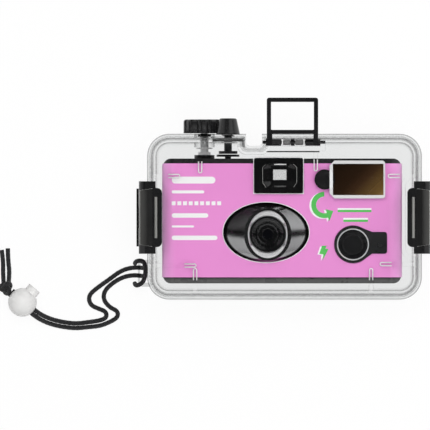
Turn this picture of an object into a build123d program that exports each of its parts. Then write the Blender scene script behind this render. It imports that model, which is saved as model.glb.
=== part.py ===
from build123d import *
import math
import os

# A disposable film camera closed in its clear waterproof case, lying on its back.
# Millimetres. X to the right as seen from the front, Y up the case, Z out of the lens.
# The origin is the centre of the case's back face.

# General fits and clearances
overrun = 1.0
face_gap = 0.3
running_fit = 0.05
loose_fit = 0.2

# Case shells
rim_width = 135.2
rim_height = 81.6
rim_corner_radius = 11.0
rim_overhang = 2.0
rim_thickness = 2.4
case_depth = 48.0
split_height = 24.0
case_wall = 2.2
front_edge_radius = 6.5
back_edge_radius = 4.5
pad_height = 1.0
pad_size = 8.0
pad_inset = 9.0

# Notch in the top edge between the shutter button and the finder
notch_left = -18.9
notch_right = -11.1
notch_floor = 34.9
notch_corner_radius = 2.2

# Gasket in the rim of the rear shell
gasket_width = 2.0
gasket_depth = 1.6
gasket_margin = 1.1

# Ribs of the front shell that hold the camera: thickness and where each one stands
rib_thickness = 2.0
rib_top_left_offset = 2.1
rib_top_right_x = 15.3
rib_top_end_y = 23.0
rib_top_left_end_y = 22.0
rib_bottom_left_inset = 16.2
rib_bottom_right_inset = 15.3
rib_bottom_end_y = -26.0
rib_right_high_y = 20.0
rib_right_high_reach = 6.4
rib_right_low_y = -23.3
rib_right_low_reach = 10.4
rib_left_high_y = 20.0
rib_left_high_reach = 8.2
rib_left_low_y = -24.0
rib_left_low_reach = 16.2
rib_foot = 3.0

# Finder recess, frame and hinge
recess_left = -9.6
recess_right = 17.8
recess_floor = 34.5
finder_axis_y = 36.6
finder_axis_z = 41.0
finder_barrel_radius = 1.8
finder_pin_radius = 0.8
finder_collar_length = 2.0
finder_ear_thickness = 1.3
finder_ear_radius = 2.5
knuckle_left_start = -1.4
knuckle_centre_x = 3.95
knuckle_right_end = 9.8
finder_arm_end_left = -6.1
finder_arm_end_right = 14.1
finder_frame_left = -8.8
finder_frame_right = 16.4
finder_frame_top = 58.4
finder_rail = 2.1
finder_crossbar_bottom = 40.6
finder_crossbar_height = 2.0
finder_thickness = 1.8
finder_offset = 4.9
finder_corner_radius = 1.2

# Winder
winder_inset = 20.8
winder_z = 18.0
knob_radius = 10.4
knob_height = 6.8
knob_flutes = 14
knob_flute_radius = 1.3
knob_rim_radius = 1.2
winder_shaft_radius = 2.0
winder_boss_radius = 5.0
winder_boss_drop = 2.4
oring_radius = 0.6
clip_radius = 4.0
clip_thickness = 0.6
clip_groove = 0.4
drive_blade_thickness = 1.6
drive_blade_width = 6.0
drive_blade_length = 3.0

# Shutter plunger of the case
shutter_offset = 11.6
shutter_rise = 8.6
boss_radius = 8.4
boss_top = 39.3
boss_bottom = 34.0
boss_bore_radius = 7.7
boss_lid = 0.8
seal_thickness = 1.5
cap_base_radius = 5.9
cap_top_radius = 4.2
cap_bottom = 40.4
cap_top = 48.4
cap_bore_radius = 3.9
cap_top_wall = 2.0
cap_edge_radius = 1.0
plunger_rod_radius = 1.9
plunger_foot_radius = 4.6
plunger_foot_height = 1.4
plunger_clip_radius = 3.6
plunger_spring_radius = 2.9
plunger_spring_wire = 0.35
plunger_spring_turns = 5

# Latches, given for the right side; the left ones mirror them
latch_centre_y = -0.4
latch_pivot_out = 1.7
latch_pivot_z = 16.5
latch_pin_radius = 0.9
latch_ear_radius = 2.4
latch_ear_half_width = 5.0
hook_pivot_in = 0.2
hook_pivot_z = 13.0
trunnion_radius = 0.8
lever_half_width = 14.3
lever_back_z = 2.0
lever_plate_thickness = 2.5
lever_hub_radius = 2.6
lever_lip = 1.2
lever_lip_height = 3.0
hook_half_width = 17.8
hook_arm_width = 3.0
hook_arm_thickness = 2.6
hook_eye_radius = 2.2
hook_plate_height = 8.3
hook_lip_in = 7.4
hook_lip_thickness = 3.5
hook_lip_wedge = 2.4
hook_lip_half_width = 14.5
hook_lip_corner_radius = 2.5
hook_shoulder_in = 4.2
hook_corner_radius = 3.0
hook_slot_half_width = 10.1
hook_slot_margin = 2.0
hook_slot_width = 2.0
hook_slot_depth = 1.6
roller_radius = 0.8
ledge_drop = 6.8
ledge_gap = 1.0
ledge_end_gap = 1.5
ledge_corner_radius = 5.0
ledge_land_half_width = 9.0
ledge_floor_drop = 2.6

# Strap lug on the left side of the rear shell
lug_out = 4.7
lug_top = -21.3
lug_bottom = -34.6
lug_bar = 1.1
lug_arm = 2.0
lug_low_z = 4.8
lug_high_z = 7.6
lug_corner_radius = 2.5
lug_root = 1.4

# Camera body
camera_gap_left = 3.2
camera_gap_right = 5.6
camera_top = 28.6
camera_bottom = -32.8
camera_front = 34.0
camera_end_radius = 6.0
camera_corner_radius = 4.0
camera_split = 20.0
camera_wall = 1.6
label_thickness = 0.4
label_top = 26.2
label_bottom = -29.8

# Lens
surround_offset = 0.8
surround_y = -7.7
surround_half_width = 21.1
surround_half_height = 14.7
surround_rim = 1.0
surround_top = 37.8
surround_top_half_width = 11.6
surround_top_half_height = 12.9
lens_y = -8.65
ring_half_width = 9.8
ring_half_height = 11.7
ring_top = 38.6
barrel_radius = 8.9
barrel_top = 39.2
barrel_mouth_radius = 7.6
barrel_throat_radius = 4.8
barrel_step_radius = 3.6
barrel_cone_depth = 2.6
barrel_hole_radius = 2.6
element_radius = 4.4
element_thickness = 1.6
element_crown = 0.8
blade_thickness = 0.4
blade_pivot_offset = 8.0
blade_hub_radius = 1.6
blade_pin_radius = 0.6
tunnel_front = 29.6

# Viewfinder
finder_bezel_left = -15.0
finder_bezel_right = 9.1
finder_bezel_top = 28.9
finder_bezel_bottom = 11.5
finder_bezel_front = 36.4
finder_bezel_radius = 1.0
octagon_left = -10.9
octagon_right = 6.2
octagon_top = 25.9
octagon_bottom = 14.5
octagon_chamfer = 2.6
eyepiece_x = -2.3
eyepiece_y = 20.65
eyepiece_width = 6.6
eyepiece_height = 5.1
eyepiece_frame = 1.5
sight_wall = 1.0
sight_lens_thickness = 1.2
sight_lens_curve = 13.2

# Flash and its colour filters
flash_width = 25.2
flash_inset = 8.4
flash_top = 26.3
flash_bottom = 10.9
flash_window_front = 34.8
flash_rib_count = 12
reflector_depth = 5.6
reflector_wall = 0.8
reflector_slope = 4.0
tube_radius = 1.2
gel_pivot_offset = 2.4
gel_pivot_y = 18.3
gel_overlap = 2.1
gel_top_edge = 27.6
gel_bottom_edge = 9.0
gel_chamfer = 2.4
gel_thickness = 0.4
gel_gap = 0.3
gel_lowest_z = 35.2
gel_arm_radius = 3.6
gel_pin_radius = 1.2
gel_rim = 1.6
gel_rim_bridge = 0.7
gel_cap_radius = 5.0
gel_cap_thickness = 0.5
gel_corner_radius = 1.5

# Flash button
flash_button_offset = 15.8
flash_button_y = -13.6
flash_button_radius = 7.3
flash_button_top = 34.7
flash_button_thickness = 2.1
flash_button_dish = 0.9
flash_button_dish_radius = 6.2
flash_button_stem_radius = 2.0
flash_button_stem_bottom = 31.2
flash_bezel_radius = 9.3
flash_bezel_top = 34.9
flash_arm_reach = 1.0
flash_arm_top = -7.5
flash_arm_bottom = -18.2
flash_arm_shoulder = 0.8
flash_arm_neck = 9.4
flash_arm_neck_angle = 60.0

# Camera release button
release_z = 27.9
release_radius = 5.65
release_top = 30.6
release_dome = 0.9
release_stem_radius = 1.5
release_stem_length = 6.0

# Film transport
wheel_radius = 13.4
wheel_low_y = 23.4
wheel_high_y = 26.6
wheel_teeth = 40
wheel_tooth_depth = 0.5
wheel_hub_radius = 5.0
wheel_hub_top = 30.4
wheel_hub_slot_depth = 1.7
cartridge_radius = 12.5
cartridge_wall = 0.4
cartridge_low_y = -30.6
cartridge_high_y = 12.6
spool_core_radius = 3.0
spool_end_radius = 4.6
spool_top = 17.0
spool_film_radius = 8.0
wheel_fork_radius = 3.6
supply_inset = 35.0
supply_radius = 9.8
supply_flange_radius = 10.5
supply_core_radius = 5.0
supply_flange_thickness = 1.2
film_low_y = -26.2
film_high_y = 8.9
film_z = 8.0
film_thickness = 0.2
gate_half_width = 18.0
gate_half_height = 12.0
chassis_plate = 1.8
partition_thickness = 1.2
chamber_half_width = 14.0
partition_top_y = 13.0
counter_x = -12.0
counter_z = 16.0
counter_radius = 8.0
counter_thickness = 0.8
counter_pin_radius = 1.0
counter_window_radius = 2.2
counter_window_offset = 4.5

# Electrics
battery_inset = 10.2
battery_radius = 7.2
battery_low_y = -30.9
battery_length = 49.5
battery_button_radius = 2.7
battery_button_height = 1.0
capacitor_offset = 3.0
capacitor_z = 26.4
capacitor_radius = 4.9
capacitor_low_y = -28.0
capacitor_length = 27.0
board_width = 24.6
board_gap = 9.0
board_low_y = -27.0
board_high_y = 4.0
board_z = 29.0
board_thickness = 1.2
board_post_radius = 1.6
board_post_inset = 3.0

# Wrist strap
cord_radius = 1.1
knot_radius = 3.6
lock_x = -129.3
lock_y = -42.3
lock_radius = 7.1
lock_heading = 139.1
lock_bore_width = 4.8
lock_bore_height = 2.7
lock_plunger_radius = 3.4
lock_plunger_out = 9.3
lock_plunger_in = 3.5
lock_slot_in = 2.5
lock_slot_out = 4.0
lock_well_depth = 5.9
lock_spring_radius = 2.4
lock_spring_wire = 0.3
lock_spring_turns = 3

# Routes of the strap, points chosen by hand
strand_a_route = [
    (-69.0, -25.4, 7.4), (-69.2, -25.3, 3.3), (-74.8, -25.0, 2.5), (-80.6, -26.6, 1.15),
    (-86.6, -31.1, 1.15), (-92.5, -35.2, 1.15), (-96.8, -39.0, 1.15), (-95.9, -43.7, 1.15),
    (-91.2, -45.7, 1.15), (-88.1, -46.9, 1.15), (-87.7, -49.9, 1.15), (-91.3, -51.4, 1.15),
    (-97.2, -52.2, 1.15), (-103.0, -52.9, 1.15), (-109.4, -52.1, 1.15), (-114.4, -50.9, 1.9),
    (-118.3, -49.3, 4.6), (-121.8, -47.3, 6.9), (-126.3, -43.4, 7.2), (-130.4, -39.8, 7.1),
    (-134.3, -36.5, 6.9),
]
strand_b_route = [
    (-69.0, -29.5, 7.4), (-69.2, -29.4, 3.3), (-74.4, -28.8, 2.5), (-79.6, -29.8, 1.15),
    (-84.5, -32.5, 1.15), (-88.9, -36.6, 1.15), (-89.4, -41.0, 1.15), (-86.3, -44.8, 1.15),
    (-82.3, -46.6, 1.15), (-82.2, -49.7, 1.15), (-86.0, -52.0, 1.15), (-91.0, -54.0, 1.15),
    (-97.2, -54.6, 1.15), (-103.2, -55.2, 1.15), (-109.9, -54.4, 1.15), (-115.3, -53.1, 1.9),
    (-119.6, -51.3, 4.6), (-123.3, -49.0, 6.9), (-127.8, -45.1, 7.2), (-131.9, -41.5, 7.1),
    (-135.8, -38.2, 6.9),
]
hitch_route = [
    (-73.7, -23.1, 6.3), (-73.4, -21.9, 8.8), (-69.9, -21.6, 9.1), (-68.4, -24.2, 8.9),
    (-68.6, -29.6, 8.9), (-70.2, -33.0, 9.1), (-73.5, -34.3, 8.9), (-73.8, -32.9, 6.3),
]
tail_a_route = [(-138.6, -33.2, 4.6), (-139.0, -28.0, 1.5), (-138.9, -21.6, 1.15), (-139.7, -16.4, 1.15)]
tail_b_route = [(-136.2, -32.9, 4.6), (-135.7, -27.4, 1.5), (-136.5, -21.6, 1.15), (-136.6, -15.6, 1.15)]

# Places worked out from the sizes above
rim_half_width = rim_width / 2
rim_half_height = rim_height / 2
body_side = rim_half_width - rim_overhang
body_top = rim_half_height - rim_overhang
inner_side = body_side - case_wall
inner_top = body_top - case_wall
case_front_inner = case_depth - case_wall
camera_left = -inner_side + camera_gap_left
camera_right = inner_side - camera_gap_right
winder_x = camera_left + winder_inset
shutter_x = winder_x + shutter_offset
shutter_z = split_height + shutter_rise
supply_x = camera_right - supply_inset
partition_left_x = winder_x + chamber_half_width
partition_right_x = supply_x - chamber_half_width
lens_x = (partition_left_x + partition_right_x) / 2
surround_x = lens_x - surround_offset
flash_right = camera_right - flash_inset
flash_left = flash_right - flash_width
gel_left = flash_left - gel_overlap
gel_pivot_x = gel_left - gel_pivot_offset
flash_button_x = flash_right - flash_button_offset
flash_arm_right = flash_right + flash_arm_reach
battery_x = camera_right - battery_inset
capacitor_x = battery_x - capacitor_offset
board_right = battery_x - board_gap
board_left = board_right - board_width
rib_top_left_x = winder_x - rib_top_left_offset
rib_bottom_left_x = camera_left + rib_bottom_left_inset
rib_bottom_right_x = camera_right - rib_bottom_right_inset
rib_right_high_end_x = camera_right - rib_right_high_reach
rib_right_low_end_x = camera_right - rib_right_low_reach
rib_left_high_end_x = camera_left + rib_left_high_reach
rib_left_low_end_x = camera_left + rib_left_low_reach
ledge_z = case_depth - ledge_drop
ledge_half_width = hook_half_width + ledge_end_gap
ledge_floor_z = ledge_z - ledge_floor_drop
hook_lip_bottom = ledge_z + face_gap
hook_top = hook_lip_bottom + hook_lip_thickness
hook_plate_start_z = hook_top - hook_plate_height
latch_pivot_x = rim_half_width + latch_pivot_out
hook_pivot_x = latch_pivot_x - hook_pivot_in
hook_lip_x = rim_half_width - hook_lip_in
hook_shoulder_x = rim_half_width - hook_shoulder_in
hook_slot_start_x = hook_lip_x + hook_slot_margin
hook_slot_end_x = hook_slot_start_x + hook_slot_width
ledge_x = hook_lip_x - ledge_gap
lug_left = -rim_half_width - lug_out
camera_back = case_wall + pad_height
camera_width = camera_right - camera_left
camera_thickness = camera_front - camera_back
camera_centre_x = (camera_left + camera_right) / 2
camera_centre_z = (camera_front + camera_back) / 2
camera_skin = camera_front - label_thickness
camera_inner_back = camera_back + label_thickness + camera_wall
camera_inner_front = camera_skin - camera_wall
recess_back = split_height + rim_thickness + case_wall
knob_bottom = rim_half_height + face_gap
supply_z = winder_z
battery_z = camera_inner_back + battery_radius + loose_fit
clearance_above_label = camera_front + face_gap
latch_low = latch_centre_y - hook_half_width
latch_high = latch_centre_y + hook_half_width
hook_outer_x = latch_pivot_x + lever_plate_thickness - loose_fit
hook_inner_x = hook_outer_x - hook_arm_thickness
gel_levels = [gel_lowest_z + n * (gel_thickness + gel_gap) for n in range(3)]
gel_cap_bottom = gel_levels[2] + gel_thickness + gel_gap
gel_cap_top = gel_cap_bottom + gel_cap_thickness
blade_z = tunnel_front + face_gap
lock_z = lock_radius


def block(x0, x1, y0, y1, z0, z1):
    """A box between two opposite corners."""
    centre = Pos((x0 + x1) / 2, (y0 + y1) / 2, (z0 + z1) / 2)
    return centre * Box(x1 - x0, y1 - y0, z1 - z0)


def rod_x(radius, x0, x1, y, z):
    """A cylinder along X."""
    return Pos((x0 + x1) / 2, y, z) * Rot(0, 90, 0) * Cylinder(radius, x1 - x0)


def rod_y(radius, y0, y1, x, z):
    """A cylinder along Y."""
    return Pos(x, (y0 + y1) / 2, z) * Rot(90, 0, 0) * Cylinder(radius, y1 - y0)


def rod_z(radius, z0, z1, x, y):
    """A cylinder along Z."""
    return Pos(x, y, (z0 + z1) / 2) * Cylinder(radius, z1 - z0)


def plate(sketch, z0, z1):
    """A sketch in the XY plane made into a slab between two heights."""
    return extrude(Pos(0, 0, z0) * sketch, z1 - z0)


def cone_y(radius_low, radius_high, y0, y1, x, z):
    """A cone along Y, its two radii given from low to high."""
    return Pos(x, (y0 + y1) / 2, z) * Rot(-90, 0, 0) * Cone(radius_low, radius_high, y1 - y0)


def side_profile(sketch, y0, y1):
    """A sketch drawn with its X along X and its Y along Z, made into a bar along Y."""
    return extrude(Pos(0, y1, 0) * Rot(90, 0, 0) * sketch, y1 - y0)


def mirrored(piece):
    """The same piece on the other side of the case."""
    return mirror(piece, Plane.YZ)


def notch_cut(inset, z0, z1):
    """The notch in the top edge, drawn out by the inset of the outline."""
    left = notch_left - inset
    right = notch_right + inset
    bottom = notch_floor - inset
    top = rim_height
    shape = Pos((left + right) / 2, (bottom + top) / 2)
    shape = shape * RectangleRounded(right - left, top - bottom, notch_corner_radius + inset / 2)
    return plate(shape, z0 - overrun, z1 + overrun)


def outline_slab(inset, z0, z1):
    """The case outline without its notch, drawn in by the inset."""
    return plate(RectangleRounded(rim_width - 2 * inset, rim_height - 2 * inset,
                                  rim_corner_radius - inset), z0, z1)


def case_slab(inset, z0, z1):
    """The case outline with its notch, drawn in by the inset."""
    return outline_slab(inset, z0, z1) - notch_cut(inset, z0, z1)


def rounded_front(slab, radius):
    """A slab with its upper edge rounded."""
    return fillet(slab.faces().sort_by(Axis.Z)[-1].edges(), radius)


def rounded_back(slab, radius):
    """A slab with its lower edge rounded."""
    return fillet(slab.faces().sort_by(Axis.Z)[0].edges(), radius)


def ledge_cut(margin):
    """The step at each side for the latch hook: a raised land in it, and lower floors beside it."""
    plan = Pos((ledge_x + rim_width) / 2, latch_centre_y) * RectangleRounded(
        rim_width - ledge_x + 2 * margin, 2 * (ledge_half_width + margin), ledge_corner_radius + margin)
    cut = plate(plan, ledge_floor_z - margin, case_depth + overrun)
    land_half_width = ledge_land_half_width - margin
    cut -= block(ledge_x - margin - overrun, rim_width, latch_centre_y - land_half_width,
                 latch_centre_y + land_half_width, ledge_floor_z - margin - overrun, ledge_z - margin)
    return cut + mirrored(cut)


def recess_cut(margin):
    """The open recess that the finder folds out of."""
    return block(recess_left - margin, recess_right + margin, recess_floor - margin,
                 rim_height, recess_back - margin, case_depth + overrun)


def holding_ribs():
    """Ribs of the front shell in front of the camera, each with a foot beside it."""
    half = rib_thickness / 2
    low = clearance_above_label
    ribs = []
    uprights = [(rib_top_left_x, rib_top_left_end_y, inner_top),
                (rib_top_right_x, rib_top_end_y, recess_floor),
                (rib_bottom_left_x, -inner_top, rib_bottom_end_y),
                (rib_bottom_right_x, -inner_top, rib_bottom_end_y)]
    for x, y0, y1 in uprights:
        ribs.append(block(x - half, x + half, y0, y1, low, case_front_inner))
    levels = [(rib_right_high_y, rib_right_high_end_x, inner_side),
              (rib_right_low_y, rib_right_low_end_x, inner_side),
              (rib_left_high_y, -inner_side, rib_left_high_end_x),
              (rib_left_low_y, -inner_side, rib_left_low_end_x)]
    for y, x0, x1 in levels:
        ribs.append(block(x0, x1, y - half, y + half, low, case_front_inner))
    foot_low = low - rib_foot
    for x in (rib_bottom_left_x, rib_bottom_right_x):
        ribs.append(block(x - half, x + half, -inner_top, camera_bottom - loose_fit, foot_low, low))
    for y in (rib_right_high_y, rib_right_low_y):
        ribs.append(block(camera_right + loose_fit, inner_side, y - half, y + half, foot_low, low))
    for y in (rib_left_high_y, rib_left_low_y):
        ribs.append(block(-inner_side, camera_left - loose_fit, y - half, y + half, foot_low, low))
    ribs.append(block(rib_top_left_x - half, rib_top_left_x + half, camera_top + loose_fit,
                      inner_top, foot_low, low))
    return ribs


def finder_supports():
    """The left ear and the two clear knuckles that carry the finder's pin."""
    low = recess_floor - case_wall / 2
    ear_right = recess_left
    ear_left = ear_right - finder_ear_thickness
    ear = block(ear_left, ear_right, low, finder_axis_y, finder_axis_z - finder_ear_radius,
                finder_axis_z + finder_ear_radius)
    ear += rod_x(finder_ear_radius, ear_left, ear_right, finder_axis_y, finder_axis_z)
    collar = finder_collar_length / 2 + face_gap
    for x0, x1 in ((knuckle_left_start, knuckle_centre_x - collar),
                   (knuckle_centre_x + collar, knuckle_right_end)):
        ear += block(x0, x1, low, finder_axis_y, finder_axis_z - finder_barrel_radius,
                     finder_axis_z + finder_barrel_radius)
        ear += rod_x(finder_barrel_radius, x0, x1, finder_axis_y, finder_axis_z)
    return ear


def make_front_shell():
    """Clear front half: domed box, rim, finder recess, latch ledges, ribs and shutter boss."""
    shell = rounded_front(outline_slab(rim_overhang, split_height, case_depth), front_edge_radius)
    shell -= notch_cut(rim_overhang, split_height, case_depth)
    shell -= recess_cut(0)
    shell -= ledge_cut(0)
    boss = rod_y(boss_radius, boss_bottom, boss_top, shutter_x, shutter_z)
    boss = boss & block(-rim_width, rim_width, -rim_height, rim_height, split_height, case_depth)
    shell += boss
    hollow = outline_slab(rim_overhang + case_wall, split_height - overrun, case_front_inner)
    hollow = rounded_front(hollow, front_edge_radius - case_wall)
    hollow -= notch_cut(rim_overhang + case_wall, split_height - overrun, case_depth)
    hollow -= recess_cut(case_wall)
    hollow -= ledge_cut(case_wall)
    shell -= hollow
    shell += case_slab(0, split_height, split_height + rim_thickness) - case_slab(
        rim_overhang + case_wall, split_height - overrun, split_height + rim_thickness + overrun)
    for rib in holding_ribs():
        shell += rib
    shell += finder_supports()
    shell -= rod_x(finder_pin_radius, recess_left - finder_ear_thickness - overrun,
                   recess_right + case_wall, finder_axis_y, finder_axis_z)
    bore_top = boss_top - boss_lid
    pocket = rod_y(boss_bore_radius, inner_top - case_wall, bore_top, shutter_x, shutter_z)
    shell -= pocket & block(-rim_width, rim_width, -rim_height, rim_height,
                            split_height, case_front_inner)
    shell -= rod_y(plunger_rod_radius + running_fit, boss_bottom, boss_top + overrun, shutter_x, shutter_z)
    return shell


def make_rear_shell():
    """Clear rear half: tray, rim with gasket groove, pads, winder boss, latch ears and lug."""
    shell = rounded_back(outline_slab(rim_overhang, 0, split_height), back_edge_radius)
    shell -= notch_cut(rim_overhang, 0, split_height)
    shell += case_slab(0, split_height - rim_thickness, split_height)
    boss_low = inner_top - winder_boss_drop
    shell += rod_y(winder_boss_radius, inner_top, rim_half_height, winder_x, winder_z)
    hollow = outline_slab(rim_overhang + case_wall, case_wall, split_height + overrun)
    hollow = rounded_back(hollow, back_edge_radius - case_wall)
    hollow -= notch_cut(rim_overhang + case_wall, 0, split_height + overrun)
    shell -= hollow
    shell += rod_y(winder_boss_radius, boss_low, inner_top, winder_x, winder_z)
    shell -= make_gasket()
    pad_x = inner_side - pad_inset
    pad_y = inner_top - pad_inset
    for x, y in ((-pad_x, pad_y), (pad_x, pad_y), (-pad_x, -pad_y), (pad_x, -pad_y)):
        shell += block(x - pad_size / 2, x + pad_size / 2, y - pad_size / 2, y + pad_size / 2,
                       case_wall - running_fit, camera_back)
    shell -= rod_y(winder_shaft_radius + running_fit, boss_low - overrun,
                   rim_half_height + overrun, winder_x, winder_z)
    seat = winder_shaft_radius + 2 * oring_radius + running_fit
    shell -= rod_y(seat, rim_half_height - 2 * oring_radius - loose_fit, rim_half_height + overrun,
                   winder_x, winder_z)
    ears = latch_ears()
    shell += ears
    shell += mirrored(ears)
    shell += strap_lug()
    return shell


def latch_ears():
    """The solid ear on the shell's right side that the lever turns on."""
    low = latch_centre_y - latch_ear_half_width
    high = latch_centre_y + latch_ear_half_width
    ear = rod_y(latch_ear_radius, low, high, latch_pivot_x, latch_pivot_z)
    ear += block(body_side - case_wall / 2, latch_pivot_x, low, high,
                 latch_pivot_z - latch_ear_radius, latch_pivot_z + latch_ear_radius)
    return ear - rod_y(latch_pin_radius, low - overrun, high + overrun, latch_pivot_x, latch_pivot_z)


def strap_lug():
    """The ring beside the shell that the strap is hitched on."""
    outer_right = -body_side + lug_root
    centre = Pos((lug_left + outer_right) / 2, (lug_top + lug_bottom) / 2)
    outer = centre * RectangleRounded(outer_right - lug_left, lug_top - lug_bottom, lug_corner_radius)
    inner_left = lug_left + lug_bar
    inner_right = -body_side
    inner_centre = Pos((inner_left + inner_right) / 2, (lug_top + lug_bottom) / 2)
    inner = inner_centre * RectangleRounded(inner_right - inner_left,
                                            lug_top - lug_bottom - 2 * lug_arm, lug_bar)
    return plate(outer - inner, lug_low_z, lug_high_z)


def make_gasket():
    """Rubber ring, flush with the face of the rear rim."""
    low = split_height - gasket_depth
    return case_slab(gasket_margin, low, split_height) - case_slab(
        gasket_margin + gasket_width, low - overrun, split_height + overrun)


def make_winder_knob():
    """Fluted knob with a rounded top, bored for its shaft."""
    top = knob_bottom + knob_height
    knob = rod_y(knob_radius, knob_bottom, top, winder_x, winder_z)
    knob = fillet(knob.edges().filter_by(GeomType.CIRCLE).sort_by(Axis.Y)[-1], knob_rim_radius)
    for n in range(knob_flutes):
        angle = math.radians(360 * n / knob_flutes)
        x = winder_x + knob_radius * math.cos(angle)
        z = winder_z + knob_radius * math.sin(angle)
        knob -= rod_y(knob_flute_radius, knob_bottom - overrun, top + overrun, x, z)
    return knob - rod_y(winder_shaft_radius, knob_bottom - overrun, top - knob_rim_radius,
                        winder_x, winder_z)


def make_winder_shaft():
    """Shaft from the knob through the seal to the blade that turns the camera's wheel."""
    top = knob_bottom + knob_height - knob_rim_radius
    blade_low = wheel_hub_top - wheel_hub_slot_depth + loose_fit
    blade_high = blade_low + drive_blade_length
    shaft = rod_y(winder_shaft_radius, blade_high, top, winder_x, winder_z)
    half = drive_blade_thickness / 2
    shaft += block(winder_x - drive_blade_width / 2, winder_x + drive_blade_width / 2,
                   blade_low, blade_high, winder_z - half, winder_z + half)
    clip_high = inner_top - winder_boss_drop - loose_fit
    groove = rod_y(winder_shaft_radius + overrun, clip_high - clip_thickness, clip_high, winder_x, winder_z)
    groove -= rod_y(winder_shaft_radius - clip_groove, clip_high - clip_thickness, clip_high,
                    winder_x, winder_z)
    return shaft - groove


def make_winder_oring():
    """Seal ring round the shaft, in the top of its boss."""
    centre = winder_shaft_radius + oring_radius + running_fit / 2
    y = rim_half_height - oring_radius - loose_fit / 2
    return Pos(winder_x, y, winder_z) * Rot(90, 0, 0) * Torus(centre, oring_radius)


def snap_clip(inner, outer, y_high, x, z):
    """An open retaining ring round a rod along Y, its mouth towards the back."""
    low = y_high - clip_thickness
    clip = rod_y(outer, low, y_high, x, z) - rod_y(inner, low - overrun, y_high + overrun, x, z)
    return clip - block(x - inner * math.cos(math.pi / 4), x + inner * math.cos(math.pi / 4),
                        low - overrun, y_high + overrun, z - outer - overrun, z)


def make_winder_clip():
    """Retaining ring under the winder boss."""
    return snap_clip(winder_shaft_radius - clip_groove, clip_radius,
                     inner_top - winder_boss_drop - loose_fit, winder_x, winder_z)


def make_plunger_cap():
    """Hollow cone that the finger presses."""
    cap = cone_y(cap_base_radius, cap_top_radius, cap_bottom, cap_top, shutter_x, shutter_z)
    cap = fillet(cap.edges().filter_by(GeomType.CIRCLE).sort_by(Axis.Y)[-1], cap_edge_radius)
    cap -= rod_y(cap_bore_radius, cap_bottom - overrun, cap_top - cap_top_wall - overrun,
                 shutter_x, shutter_z)
    return cap - rod_y(plunger_rod_radius, cap_bottom, cap_top - cap_top_wall, shutter_x, shutter_z)


def make_plunger_rod():
    """Rod with its foot over the camera's release button."""
    foot_low = release_top + face_gap
    rod = rod_y(plunger_rod_radius, foot_low, cap_top - cap_top_wall, shutter_x, shutter_z)
    rod += rod_y(plunger_foot_radius, foot_low, foot_low + plunger_foot_height, shutter_x, shutter_z)
    clip_high = boss_top - boss_lid - seal_thickness - loose_fit
    groove = rod_y(plunger_rod_radius + overrun, clip_high - clip_thickness, clip_high,
                   shutter_x, shutter_z)
    groove -= rod_y(plunger_rod_radius - clip_groove, clip_high - clip_thickness, clip_high,
                    shutter_x, shutter_z)
    return rod - groove


def make_plunger_clip():
    """Retaining ring that stops the rod under the seal."""
    return snap_clip(plunger_rod_radius - clip_groove, plunger_clip_radius,
                     boss_top - boss_lid - seal_thickness - loose_fit, shutter_x, shutter_z)


def make_plunger_seal():
    """Rubber diaphragm that fills the boss round the rod."""
    high = boss_top - boss_lid
    seal = rod_y(boss_bore_radius, high - seal_thickness, high, shutter_x, shutter_z)
    return seal - rod_y(plunger_rod_radius + running_fit, high - seal_thickness - overrun,
                        high + overrun, shutter_x, shutter_z)


def coil_spring(radius, wire, turns, length):
    """A compression spring standing on the XY plane."""
    pitch = (length - 2 * wire) / turns
    path = Helix(pitch, pitch * turns, radius)
    section = Plane(origin=path @ 0, z_dir=path % 0) * Circle(wire)
    return Pos(0, 0, wire) * sweep(section, path=path, is_frenet=True)


def make_plunger_spring():
    """Return spring hidden in the cap."""
    low = boss_top + running_fit
    high = cap_top - cap_top_wall - overrun - running_fit
    spring = coil_spring(plunger_spring_radius, plunger_spring_wire, plunger_spring_turns, high - low)
    return Pos(shutter_x, low, shutter_z) * Rot(-90, 0, 0) * spring


def make_finder_frame():
    """Sports finder: window frame standing on two arms with hinge barrels."""
    z0 = finder_axis_z + finder_offset
    z1 = z0 + finder_thickness
    foot = finder_axis_y - finder_barrel_radius
    width = finder_frame_right - finder_frame_left
    centre_x = (finder_frame_left + finder_frame_right) / 2
    frame = plate(Pos(centre_x, (finder_frame_top + finder_crossbar_bottom) / 2)
                  * RectangleRounded(width, finder_frame_top - finder_crossbar_bottom,
                                     finder_corner_radius), z0, z1)
    window_low = finder_crossbar_bottom + finder_crossbar_height
    window_high = finder_frame_top - finder_rail
    frame -= block(finder_frame_left + finder_rail, finder_frame_right - finder_rail,
                   window_low, window_high, z0 - overrun, z1 + overrun)
    barrels = ((finder_frame_left, finder_arm_end_left, recess_left + face_gap,
                knuckle_left_start - face_gap),
               (finder_frame_right, finder_arm_end_right, recess_right - face_gap,
                knuckle_right_end + face_gap))
    for outer, inner, barrel_start, barrel_end in barrels:
        x0, x1 = min(outer, inner), max(outer, inner)
        frame += block(x0, x1, foot, finder_crossbar_bottom + finder_rail, z0, z1)
        frame += block(x0, x1, foot, finder_axis_y + finder_barrel_radius, finder_axis_z, z1)
        b0, b1 = min(barrel_start, barrel_end), max(barrel_start, barrel_end)
        frame += rod_x(finder_barrel_radius, b0, b1, finder_axis_y, finder_axis_z)
    return frame - rod_x(finder_pin_radius + running_fit, recess_left, recess_right,
                         finder_axis_y, finder_axis_z)


def make_finder_pin():
    """Hinge pin with the collar that keeps it centred."""
    half = finder_collar_length / 2
    pin = rod_x(finder_pin_radius, recess_left - finder_ear_thickness, recess_right + case_wall,
                finder_axis_y, finder_axis_z)
    return pin + rod_x(finder_barrel_radius, knuckle_centre_x - half, knuckle_centre_x + half,
                       finder_axis_y, finder_axis_z)


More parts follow.
